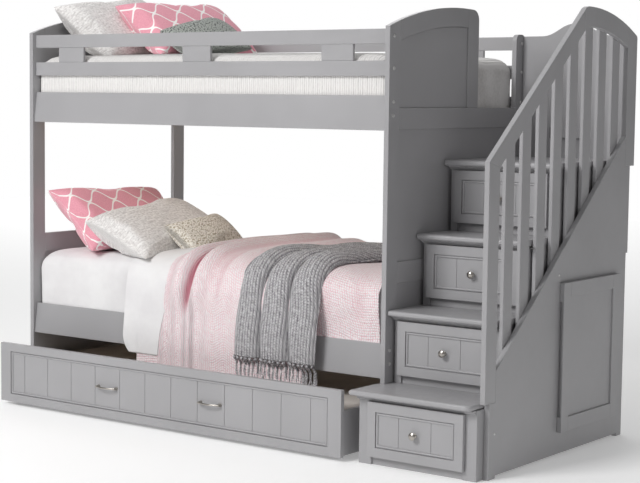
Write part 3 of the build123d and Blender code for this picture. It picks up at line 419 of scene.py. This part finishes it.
def soft_block(name, box, radius, steps, crown, shoulder, material, body, replaced,
               wrinkle=0.003, ribs=0.0):
    """A mattress: a rounded box whose top is crowned and falls away over a shoulder
    at each edge, in a quarter of an ellipse. Its cover wrinkles a little, and ribs,
    if any, swell between stitch lines in x."""
    points, faces, middle, half = rounded_box(box[0], box[1], radius, steps)
    points, faces = welded(points, faces)
    unit = (points - middle) / half
    top = ease(unit[:, 2], 0.2, 1.0)
    dome = (1 - unit[:, 0] ** 4) * (1 - unit[:, 1] ** 4)
    points[:, 2] += crown * top * dome
    for axis in (0, 1):
        inset = half[axis] - np.abs(points[:, axis] - middle[axis])
        over = np.clip(1 - inset / shoulder, 0, 1)
        points[:, 2] -= 0.6 * shoulder * (1 - np.sqrt(1 - over ** 2)) * ease(unit[:, 2], 0.1, 1.0)
    way = np.abs(unit) ** 6 * np.sign(unit)
    way /= np.maximum(np.linalg.norm(way, axis=1, keepdims=True), 1e-9)
    source = np.random.default_rng(7)
    waves_in_cover = 26
    swell = np.zeros(len(points))
    for _ in range(waves_in_cover):
        wave = source.normal(0, 1, 3) * source.uniform(8, 26)
        swell += np.cos(points @ wave + source.uniform(0, math.tau))
    more_at_ends = 0.4 + ease(np.abs(unit[:, 0]), 0.75, 1.0)
    points += way * (swell / waves_in_cover * wrinkle * 3)[:, None] * more_at_ends[:, None]
    if ribs:
        rib_pitch = 0.022
        along = np.abs(np.sin(points[:, 0] * math.pi / rib_pitch)) ** 0.5
        points += way * (along * ribs)[:, None]
    uv = points[:, :2] + points[:, 2:] * np.array([[0.0, 1.0]])
    piece = mesh_object(name, points, faces, uv, material, body)
    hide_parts(replaced)
    return piece


# ------------------------------------------------------------------ drapes
def bed_section(count, hem):
    """Section of the lower bed, from its far edge over the top and down in front of
    the side rail to a hem, as (y, z), and how far down it each point lies."""
    back, top = LOWER_BED[1].y - 0.028, LOWER_BED[1].z
    face = FRAME_FRONT - 0.012
    corners = [(back, top - 0.05), (back - 0.005, top - 0.01), (back - 0.04, top + 0.012),
               (back - 0.2, top + 0.018), ((back + face) / 2, top + 0.020),
               (face + 0.25, top + 0.016), (face + 0.13, top + 0.008),
               (face + 0.065, top - 0.020), (face + 0.035, top - 0.07),
               (face + 0.016, top - 0.15), (face + 0.005, top - 0.23),
               (face, top - 0.31), (face, hem)]
    line = smooth_line(corners, count)
    slope = np.gradient(line, axis=0)
    out = np.stack([slope[:, 1], -slope[:, 0]], 1)
    return line, out / np.linalg.norm(out, axis=1, keepdims=True), np.linspace(0, 1, count)


def drape(name, x, height, section, out, thick, material):
    """A cloth over the bed. Its points lie at x along the bed and at height off the
    section, along the section's own way out."""
    grid = np.zeros((*height.shape, 3))
    grid[..., 0] = x
    grid[..., 1:] = section + out[None] * height[..., None]
    uv = np.stack([arc_lengths(grid, 0), arc_lengths(grid, 1)], -1)
    piece = mesh_object(name, grid, grid_faces(*height.shape), uv, material, "bed")
    normals = np.zeros(len(piece.data.polygons) * 3, np.float32)
    piece.data.polygons.foreach_get("normal", normals)
    if normals[2::3].sum() < 0:
        piece.data.flip_normals()
    # Painted shade: how far each row sinks below its neighbours, to darken the cloth's creases.
    layer = piece.data.attributes.new("painted_crease_shade", "FLOAT", "POINT")
    layer.data.foreach_set("value", crease_shade_share(height).astype(np.float32).ravel())
    wall = piece.modifiers.new("thickness", "SOLIDIFY")
    wall.thickness = thick
    wall.offset = -1.0
    return piece, grid


def crease_shade_share(height, reach=10, deep=0.016):
    """How far each row of a relief lies below the rows around it, 1 at deep: the share of painted
    shade in the cloth's creases.
    """
    padded = np.pad(height, ((reach, reach), (0, 0)), mode="edge")
    total = np.cumsum(np.pad(padded, ((1, 0), (0, 0))), axis=0)
    mean = (total[2 * reach + 1:] - total[:-2 * reach - 1]) / (2 * reach + 1)
    return np.clip((mean - height) / deep, 0, 1)


def loft_of(x):
    """How far the bedding stands off the bed at x: full over the sleeper's half,
    thin near the foot."""
    rise = ease(x, QUILT_EDGE - 0.26, QUILT_EDGE + 0.10)
    return 0.010 + 0.034 * rise * (1 - 0.75 * ease(x, 0.22, 0.62))


def edge_bend(down):
    """How far the quilt's head edge strays along the bed on its way down."""
    return 0.045 * np.sin(down * 4.2) + 0.015 * np.sin(down * 11)


def quilt_relief(x, down):
    """The quilt's height over the section: a roll at its head edge, a deep valley
    beside it, broad soft ridges after it, and pleats where it hangs."""
    s = x - QUILT_EDGE - edge_bend(down)
    relief = loft_of(x) + 0.026 * bell(s, 0.050, 0.036) - 0.046 * bell(s, 0.108, 0.018)
    relief += 0.034 * bell(s, 0.160, 0.044) - 0.009 * bell(s, 0.255 + 0.03 * down, 0.020)
    relief += 0.016 * bell(s, 0.30, 0.05) - 0.012 * bell(s, 0.60, 0.05)
    return relief


QUILT_EDGE = QUILT_BOX[0].x + 0.255
HANG_HEM = QUILT_BOX[0].z + 0.003


def add_quilt():
    """The quilt hangs in front of the rail as far as the throw, and is tucked
    behind the rail past it."""
    rows, columns = 230, 208
    section, out, down = bed_section(columns, HANG_HEM)
    down = down[None]
    xs = np.linspace(QUILT_BOX[0].x + 0.085, LOWER_BED[1].x - 0.004, rows)[:, None]
    hang = ease(down, 0.60, 0.78)
    low = ease(down, 0.74, 0.84)
    relief = quilt_relief(xs, down)
    pleats = 0.005 * np.sin((xs - QUILT_EDGE) * 38 + 1.6 * np.sin(down * 6)) * hang
    relief = relief * (1 - 0.35 * hang) + pleats
    relief += 0.0035 * ripple((rows, columns), 16, 3, (1.3, 1.6))
    under_sheet = 1 - ease(xs, QUILT_EDGE - 0.05, QUILT_EDGE - 0.005)
    relief -= under_sheet * (relief - 0.004) * 0.75
    relief = relief * (1 - low) + np.clip(relief, -0.004, 0.009) * low
    tuck = ease(xs, THROW_BOX[0].x + 0.42, THROW_BOX[0].x + 0.46)
    inner_y = LOWER_BED[0].y - 0.007
    rail_top = SIDE_RAILS[0].z + SIDE_RAIL_HEIGHT + 0.004
    line = np.repeat(section[None], rows, 0)
    tucked = np.stack([np.maximum(line[..., 0], inner_y), np.maximum(line[..., 1], rail_top)], -1)
    line = line * (1 - tuck[..., None]) + tucked * tuck[..., None]
    relief = relief * (1 - tuck * low)
    quilt, grid = drape("pink_quilt", xs, relief, line, out, 0.004, QUILT)
    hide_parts("quilt")


def add_turned_sheet():
    """The top sheet, folded back over the quilt's head edge. Its front corner is
    rounded, and it stops above the quilt's hem."""
    rows, columns = 110, 260
    section, out, down = bed_section(columns, HANG_HEM + 0.068)
    down = down[None]
    left, right = QUILT_BOX[0].x - 0.008, QUILT_EDGE + 0.012
    part = np.linspace(0, 1, rows)[:, None]
    rounded = 0.045 * np.clip((down - 0.93) / 0.07, 0, 1) ** 2.5
    belly = 0.020 * np.sin(down * 9.0) * ease(down, 0.5, 0.8)
    start = left + rounded + belly + 0.13 * (1 - ease(down, 0.05, 0.5))
    xs = start + (right + edge_bend(down) - start) * part
    relief = np.maximum(quilt_relief(xs, down), 0.010 + 0.012 * part) + 0.005
    hang = ease(down, 0.60, 0.78)
    relief = relief * (1 - 0.45 * hang)
    relief += 0.004 * np.sin(part * 9 + 2 * down) * hang
    relief += 0.003 * ripple((rows, columns), 10, 5, (0.3, 1.5))
    low = ease(down, 0.76, 0.86)
    relief = relief * (1 - low) + np.clip(relief, 0.004, 0.011) * low
    sheet, grid = drape("turned_down_sheet", xs, relief, section[None], out, 0.0016, SHEET)


def add_throw():
    """The knitted throw: gathered into three lobes with deep folds between them,
    slanting to the foot over the bed's top, and fringed."""
    rows, columns = 200, 230
    section, out, down = bed_section(columns, THROW_BOX[0].z + 0.122)
    down = down[None]
    part = np.linspace(0, 1, rows)[:, None]
    top = 1 - ease(down, 0.24, 0.76)
    left = THROW_BOX[0].x + 0.088 + 0.44 * top - 0.012 * np.sin(down * 8)
    right = THROW_BOX[0].x + 0.496 + 0.20 * top
    wave = part + 0.022 * np.sin(down * 7 + part * 4) + 0.012 * np.sin(down * 17)
    lobes = np.abs(np.sin(wave * math.pi * 3)) ** 0.55
    small = np.abs(np.sin(wave * math.pi * 6 + 0.5 * np.sin(down * 9)))
    low = ease(down, 0.66, 0.86)
    relief = (0.058 - 0.034 * low) * (lobes - 0.40) + 0.005 * small
    crease = np.clip(np.round(wave * 3) / 3, 0, 1) - wave
    xs = left + (right - left) * (part + 0.35 * crease * np.exp(-(crease / 0.06) ** 2))
    beneath = quilt_relief(xs, down) * (1 - low) + 0.006 * low
    relief = np.maximum(relief + 0.014, 0.010) + beneath
    throw, grid = drape("knitted_throw", xs, relief, section[None], out, 0.006, KNIT)
    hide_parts("throw")
    roots = grid[5:-3:10, -1] + np.array([0.0, 0.001, 0.002])
    fringe = strands("throw_fringe", roots, 0.118, FRAME_FRONT - 0.018, KNIT, "bed")


def ring_quads(rings, sides):
    """Quads round a tube of rings, each ring closing on its own first vertex."""
    index = np.arange(rings * sides).reshape(rings, sides)
    index = np.concatenate([index, index[:, :1]], 1)
    quads = np.stack([index[:-1, :-1], index[:-1, 1:], index[1:, 1:], index[1:, :-1]], -1)
    return quads.reshape(-1, 4)


def strands(name, roots, length, plane, material, body):
    """A knotted fringe: at each root a knot, and seven wavy strands below it. Each is
    a five-sided tube along x + a sin(k t), swinging a little out of line. They hang
    back to the plane y, which is how far out they may reach."""
    source = np.random.default_rng(19)
    sides, rings = 5, 9
    knot_drop, knot_radius, strand_radius = 0.018, 0.0074, 0.0030
    turn = np.linspace(0, math.tau, sides, endpoint=False)
    ring = np.stack([np.cos(turn), np.sin(turn), 0 * turn], 1)
    t = np.linspace(0, 1, rings)
    bulge = knot_radius * np.sin(math.pi * np.clip(t, 0.04, 0.96))
    quads = ring_quads(rings, sides)
    tubes = []
    for root in roots:
        for k in range(8):
            knot = k == 0
            drop = knot_drop if knot else length * source.uniform(0.84, 1.0)
            wander = 0.0 if knot else source.uniform(-0.010, 0.010)
            phase = source.uniform(0, math.tau)
            kink = 0.0 if knot else source.uniform(0.0012, 0.003)
            drift = 0.0 if knot else source.uniform(-0.003, 0.003)
            back = 0.0 if knot else max(0.0, plane - root[1])
            x = root[0] + wander * t + kink * np.sin(t * 11 + phase)
            y = root[1] + drift * t + kink * np.cos(t * 9 + phase) + back * ease(t, 0.0, 0.4)
            middle = np.stack([x, y, root[2] - drop * t], 1)
            radius = bulge if knot else np.full(rings, strand_radius)
            tube = middle[:, None] + ring[None] * radius[:, None, None]
            if not knot:
                tip = tube[-1].mean(0)
                tube[-1] = tip + (tube[-1] - tip) * 0.3
            tubes.append(tube.reshape(-1, 3))
    points = np.concatenate(tubes)
    faces = np.concatenate([quads + rings * sides * i for i in range(len(tubes))])
    fringe = mesh_object(name, points, faces[:, ::-1], points[:, ::2], material, body)
    return fringe


# ---------------------------------------------------------- small fittings
def boxes(name, corners, material, edge):
    """Small blocks between pairs of corners, with their edges rounded."""
    unit = np.array([[x, y, z] for x in (0, 1) for y in (0, 1) for z in (0, 1)], float)
    sides = np.array([[0, 1, 3, 2], [4, 6, 7, 5], [0, 4, 5, 1],
                      [2, 3, 7, 6], [0, 2, 6, 4], [1, 5, 7, 3]])
    points = np.concatenate([np.array(a) + unit * (np.array(b) - np.array(a)) for a, b in corners])
    faces = np.concatenate([sides + 8 * i for i in range(len(corners))])
    piece = mesh_object(name, points, faces, points[:, :2], material, "bed", False)
    rounding = piece.modifiers.new("rounding", "BEVEL")
    rounding.width = edge
    rounding.segments = 2


def discs(name, centres, radius, high, material):
    """Domed screw heads that look along X: rings of radius r cos(a), high sin(a)."""
    sides = 20
    turn = np.linspace(0, math.tau, sides, endpoint=False)
    lift = np.array([0.0, 0.5, 1.1, 1.5])[:, None]
    ring = np.stack([high * np.sin(lift) + 0 * turn, radius * np.cos(lift) * np.cos(turn),
                     radius * np.cos(lift) * np.sin(turn)], -1).reshape(-1, 3)
    quads = ring_quads(len(lift), sides)
    points = np.concatenate([ring + np.array(c) for c in centres])
    faces = np.concatenate([quads + len(ring) * i for i in range(len(centres))])
    piece = mesh_object(name, points, faces, points[:, 1:], material, "bed")


def add_fittings():
    """Cap screws of the side guard, and the steel angles that tie the guard to the
    staircase."""
    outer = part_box("side_guard_panel")[1].x
    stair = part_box("stair_right_side")[1].x
    front = FRAME_FRONT
    discs("guard_cap_screws", [(outer, front + y, z) for y, z in ((0.431, 0.729), (-0.049, 0.171))],
          0.005, 0.0018, BOLT)
    angles = []
    for y, z in ((0.041, 0.552), (0.273, 0.842)):
        angles.append(((stair, front + y, z), (stair + 0.003, front + y + 0.034, z + 0.032)))
        angles.append(((stair, front + y, z), (stair + 0.022, front + y + 0.034, z + 0.003)))
    boxes("guard_steel_angles", angles, ZINC, 0.0006)
    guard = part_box("rear_guard")
    back, left = guard[0].y, guard[0].x
    boxes("rear_guard_block", [((left + 0.177, back - 0.016, 1.252), (left + 0.301, back, 1.294))],
          PAINT, 0.0015)
    boxes("rear_guard_plate", [((left + 0.140, back - 0.003, 1.250), (left + 0.172, back, 1.296))],
          ZINC, 0.0006)


# ----------------------------------------------------------------- pillows
def pillow_shell(width, height, thick, across=44, down=34):
    """Two sheets sewn at their edge. Half thickness is thick/2 times
    ((1 - u^2)(1 - v^2))^0.42, and the edges draw in between the corners."""
    u, v = np.meshgrid(np.linspace(-1, 1, across), np.linspace(-1, 1, down), indexing="ij")
    puff = ((1 - u ** 2) * (1 - v ** 2)).clip(0) ** 0.42
    x = v * height / 2 * (1 - 0.07 * (1 - u ** 2) * v ** 2)
    y = u * width / 2 * (1 - 0.06 * (1 - v ** 2) * u ** 2)
    front = np.stack([x, y, thick / 2 * puff], -1).reshape(-1, 3)
    rear = np.stack([x, y, -thick / 2 * puff], -1).reshape(-1, 3)
    index = np.arange(across * down).reshape(across, down)
    rim = np.zeros((across, down), bool)
    rim[0], rim[-1], rim[:, 0], rim[:, -1] = True, True, True, True
    rear_index = np.where(rim, index, -1).reshape(-1)
    inside = np.flatnonzero(rear_index < 0)
    rear_index[inside] = across * down + np.arange(len(inside))
    points = np.concatenate([front, rear[inside]])
    faces = grid_faces(across, down)
    faces = np.concatenate([faces[:, ::-1], rear_index[faces]])
    flat = np.stack([u * width / 2, v * height / 2], -1).reshape(-1, 2)
    return points, faces, np.concatenate([flat, flat[inside] + width])


def inflate(points, faces, cap, press):
    """Blows the shell up as cloth for twenty frames and returns where it comes to
    rest, no point moving further than the cap."""
    mesh = bpy.data.meshes.new("inflating")
    mesh.from_pydata(points.tolist(), [], faces.tolist())
    shell = bpy.data.objects.new("inflating", mesh)
    bpy.context.scene.collection.objects.link(shell)
    cloth_run = shell.modifiers.new("cloth", "CLOTH").settings
    cloth_run.quality = 6
    cloth_run.mass = 0.25
    cloth_run.use_pressure = True
    cloth_run.uniform_pressure_force = press
    cloth_run.effector_weights.gravity = 0.0
    cloth_run.tension_stiffness = 30
    cloth_run.compression_stiffness = 30
    cloth_run.shear_stiffness = 8
    cloth_run.bending_stiffness = 0.35
    scene = bpy.context.scene
    for step in range(1, 21):
        scene.frame_set(step)
    seen = shell.evaluated_get(bpy.context.evaluated_depsgraph_get())
    now = np.zeros(len(points) * 3, np.float32)
    seen.data.vertices.foreach_get("co", now)
    scene.frame_set(1)
    bpy.data.objects.remove(shell)
    bpy.data.meshes.remove(mesh)
    move = now.reshape(-1, 3) - points
    far = np.linalg.norm(move, axis=1, keepdims=True)
    return points + move * np.minimum(1, cap / np.maximum(far, 1e-9))


SHELLS = {}


def pillow_form(width, height, thick):
    """The blown-up form of one size, worked out once."""
    key = (width, height, thick)
    if key not in SHELLS:
        points, faces, uv = pillow_shell(width, height, thick * 0.72)
        points = inflate(points, faces, 0.030, 4.0)
        SHELLS[key] = (points, faces, uv)
    return SHELLS[key]


def add_pillow(name, material, bed, size, place, lean, turn, spin, droop=0.0, flip=1):
    """A pillow that leans: turned and tipped like the solid it stands for, its
    corners drooping with u^2, and its underside pressed flat on the mattress."""
    width, height, thick = size
    points, faces, uv = pillow_form(width, height, thick)
    points = points * np.array([1.0, flip, 1.0])
    if flip < 0:
        faces = faces[:, ::-1]
    across, up = points[:, 1] / (width / 2), -points[:, 0] / (height / 2)
    sag = droop * across ** 2 * ease(up, -0.2, 1.0)
    bend = 0.05 * thick * np.sin(across * 2.1 + up)
    turned = Matrix.Identity(3)
    for degrees, axis in ((turn, "Z"), (lean, "Y"), (spin, "Z")):
        turned = turned @ Matrix.Rotation(math.radians(degrees), 3, axis)
    local = points + np.stack([sag, 0 * sag, bend], 1)
    corner = np.array([bed[0].x, bed[0].y, bed[1].z])
    world = local @ np.array(turned).T + corner + np.array(place)
    floor_z = corner[2] + 0.004
    depth = floor_z - world[:, 2]
    soft = 0.016
    world[:, 2] = floor_z + soft * np.log1p(np.exp(np.clip(-depth / soft, -40, 40)))
    piece = mesh_object(name, world, faces, uv, material, "bed")
    rounder = piece.modifiers.new("rounder", "SUBSURF")
    rounder.levels = 1
    rounder.render_levels = 1
    return piece


# ------------------------------------------------------------------- finishes
PAINT = sprayed_paint("satin_grey_paint", "A7A6A8")
WOOD = planed_wood("planed_pine", "D8BF97", "B9976A")
LINING = planed_wood("lacquered_birch_lining", "B9A48C", "9A8468")
NICKEL = satin_nickel("satin_nickel_plate")
BOLT = satin_nickel("satin_bolt_heads", "E4E3E2", 0.32)
ZINC = satin_nickel("zinc_plated_steel", "8E8E8E", 0.4)
WHEEL = moulded_plastic("black_nylon", "232323")
# The second colour of the sheet and of the ticking is painted shade in their creases.
SHEET = cotton_percale("white_percale", "F0EFEF", "E4E2E3")
TICKING = cotton_percale("mattress_ticking", "D9D2CC", "CBC3BC")
# The coverlet's second colour is painted shade in its channels.
COVERLET = ribbed_coverlet("white_ribbed_quilting", "ECEAE8", "CBC8C5")
# The quilt's second and third colours are painted shade: in its sunk stitch lines, and in its
# folds.
QUILT = waffle_quilting("pink_waffle_quilting", "FFF8F9", "F2C4CD", "D68898")
# The grey knit's two darker colours are painted shade: between its stitches, and in its folds.
KNIT = chunky_knit("grey_chunky_knit", "ECEAEC", "706C72", "57535A")
LINEN = slubby_linen("washed_grey_linen", "FBF9F7", "CDC9C7")
TRELLIS = printed_trellis("pink_trellis_cotton", "F2ACBA", "E59AAA", "FFFAF8")
# The second colour of each boucle is the painted shade between its loops.
BOUCLE_IVORY = looped_boucle("ivory_boucle", "FFFAF0", "B4A78F")
BOUCLE_GREY = looped_boucle("grey_boucle", "B5BAB4", "464B48")

FINISH_OF_SLOT = {"grey_paint": PAINT, "inner_wood": LINING, "slat_wood": WOOD,
                  "satin_nickel": NICKEL, "bolt_steel": BOLT, "bracket_steel": ZINC,
                  "wheel_plastic": WHEEL}


def finish_frame():
    """Gives every timber and metal node its finish."""
    slots = {part["node"]: part["material_slot"] for part in frame["record"]["subparts"]}
    for name, piece in NODES.items():
        finish = FINISH_OF_SLOT.get(slots.get(name))
        if finish is None:
            continue
        piece.data.materials.clear()
        piece.data.materials.append(finish)


# -------------------------------------------------------------------- bedding
def add_mattresses():
    snug = (LOWER_BED[0] - Vector((0.018, 0, 0)), LOWER_BED[1])
    soft_block("lower_mattress_sheet", snug, 0.018, (170, 90, 28), 0.016, 0.085, SHEET, "bed",
               "lower_mattress", 0.004)
    snug = (UPPER_BED[0] - Vector((0.014, 0, 0)), UPPER_BED[1])
    soft_block("upper_mattress_coverlet", snug, 0.018, (420, 50, 16), 0.012, 0.07, COVERLET, "bed",
               "upper_mattress", 0.003, 0.0025)
    soft_block("trundle_mattress_ticking", TRUNDLE_BED, 0.030, (60, 34, 8), 0.004, 0.03, TICKING,
               "trundle", "trundle_mattress", 0.002)


def add_pillows():
    """Pillows of each bunk, placed from the mattress's front head corner."""
    up, low = UPPER_BED, LOWER_BED
    first = [
        add_pillow("upper_linen_pillow", LINEN, up, (0.69, 0.45, 0.17),
                   (0.118, 0.410, 0.130), 43, 0, 7, 0.02),
        add_pillow("lower_linen_pillow", LINEN, low, (0.71, 0.47, 0.18),
                   (0.462, 0.300, 0.100), 26, -7, 8, 0.05, -1)]
    second = [
        add_pillow("upper_trellis_pillow", TRELLIS, up, (0.69, 0.45, 0.16),
                   (0.379, 0.590, 0.128), 36, -8, -1, 0.02),
        add_pillow("lower_trellis_pillow", TRELLIS, low, (0.71, 0.48, 0.16),
                   (0.208, 0.330, 0.142), 38, -4, -4, 0.01, -1)]
    third = [
        add_pillow("upper_boucle_cushion", BOUCLE_GREY, up, (0.44, 0.26, 0.12),
                   (0.571, 0.490, 0.088), 36, -12, 12, 0.02),
        add_pillow("lower_boucle_cushion", BOUCLE_IVORY, low, (0.42, 0.26, 0.12),
                   (0.681, 0.372, 0.085), 40, 0, 6, 0.015, -1)]
    for pair, node in ((first, "linen_pillows"), (second, "trellis_pillows"),
                       (third, "boucle_pillows")):
        for piece in pair:
            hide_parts(node)


# ----------------------------------------------------------- studio, camera
def soft_light(name, place, aim, size, power):
    """A rectangular softbox that faces a point."""
    lamp = bpy.data.lights.new(name, "AREA")
    lamp.shape = "RECTANGLE"
    lamp.size, lamp.size_y = size
    lamp.energy = power
    holder = bpy.data.objects.new(name, lamp)
    bpy.context.scene.collection.objects.link(holder)
    holder.location = place
    holder.rotation_mode = "QUATERNION"
    holder.rotation_quaternion = (Vector(aim) - Vector(place)).to_track_quat("-Z", "Y")


def add_studio():
    """White floor, a broad key from the front left, a weak fill and pale walls."""
    floor = studio_floor("white_paper_sweep")
    reach = 12.0
    corners = reach * np.array([[-1, -1, 0], [1, -1, 0], [1, 1, 0], [-1, 1, 0]], float)
    sweep = mesh_object("floor", corners, np.array([[0, 1, 2, 3]]), corners[:, :2], floor, None,
                        False)
    soft_light("key", (-1.3, -6.4, 5.0), (0.0, -0.2, 0.8), (2.8, 2.8), 365)
    soft_light("fill", (6.5, -2.2, 3.4), (0.8, 0.0, 0.9), (2.4, 2.4), 34)
    soft_light("top", (0.0, -0.5, 5.2), (0.0, 0.0, 0.6), (4.5, 3.5), 45)
    soft_light("backdrop_wash", (-9.0, 11.5, 6.5), (-9.0, 11.5, 0.0), (17.0, 17.0), 1000)
    world = bpy.data.worlds.new("studio_air")
    world.use_nodes = True
    air = world.node_tree
    way = add(air, "TexCoord", out="Generated")
    away = add(air, "VectorMath", {0: way, 1: (-0.610, 0.792, 0.0)}, "Value",
               operation="DOT_PRODUCT")
    bright = add(air, "MapRange", {0: away, 1: 0.80, 2: 0.94, 3: 0.15, 4: 1.0})
    backdrop = air.nodes["Background"]
    backdrop.inputs[0].default_value = srgb("FFFFFF")
    air.links.new(bright, backdrop.inputs[1])
    bpy.context.scene.world = world


def add_camera():
    """A long lens from the front right, just above the lower bunk's rails."""
    yaw, pitch, roll = (math.radians(a) for a in (37.61, -5.10, 0.56))
    level = Vector((-math.sin(yaw), math.cos(yaw), 0))
    ahead = level * math.cos(pitch) + Vector((0, 0, math.sin(pitch)))
    right = ahead.cross(Vector((0, 0, 1))).normalized()
    up = right.cross(ahead)
    side = right * math.cos(roll) + up * math.sin(roll)
    top = up * math.cos(roll) - right * math.sin(roll)
    turn = Matrix((side, top, -ahead)).transposed().to_4x4()
    lens = bpy.data.cameras.new("camera")
    lens.lens = 93.03
    lens.sensor_width = 36.0
    lens.shift_x = 0.075
    lens.clip_end = 100.0
    camera = bpy.data.objects.new("camera", lens)
    bpy.context.scene.collection.objects.link(camera)
    camera.matrix_world = Matrix.Translation((4.3036, -5.8142, 1.4288)) @ turn
    bpy.context.scene.camera = camera


finish_frame()
add_mattresses()
add_quilt()
add_turned_sheet()
add_throw()
add_pillows()
add_fittings()
add_studio()
add_camera()
bpy.context.scene.view_settings.view_transform = "Standard"
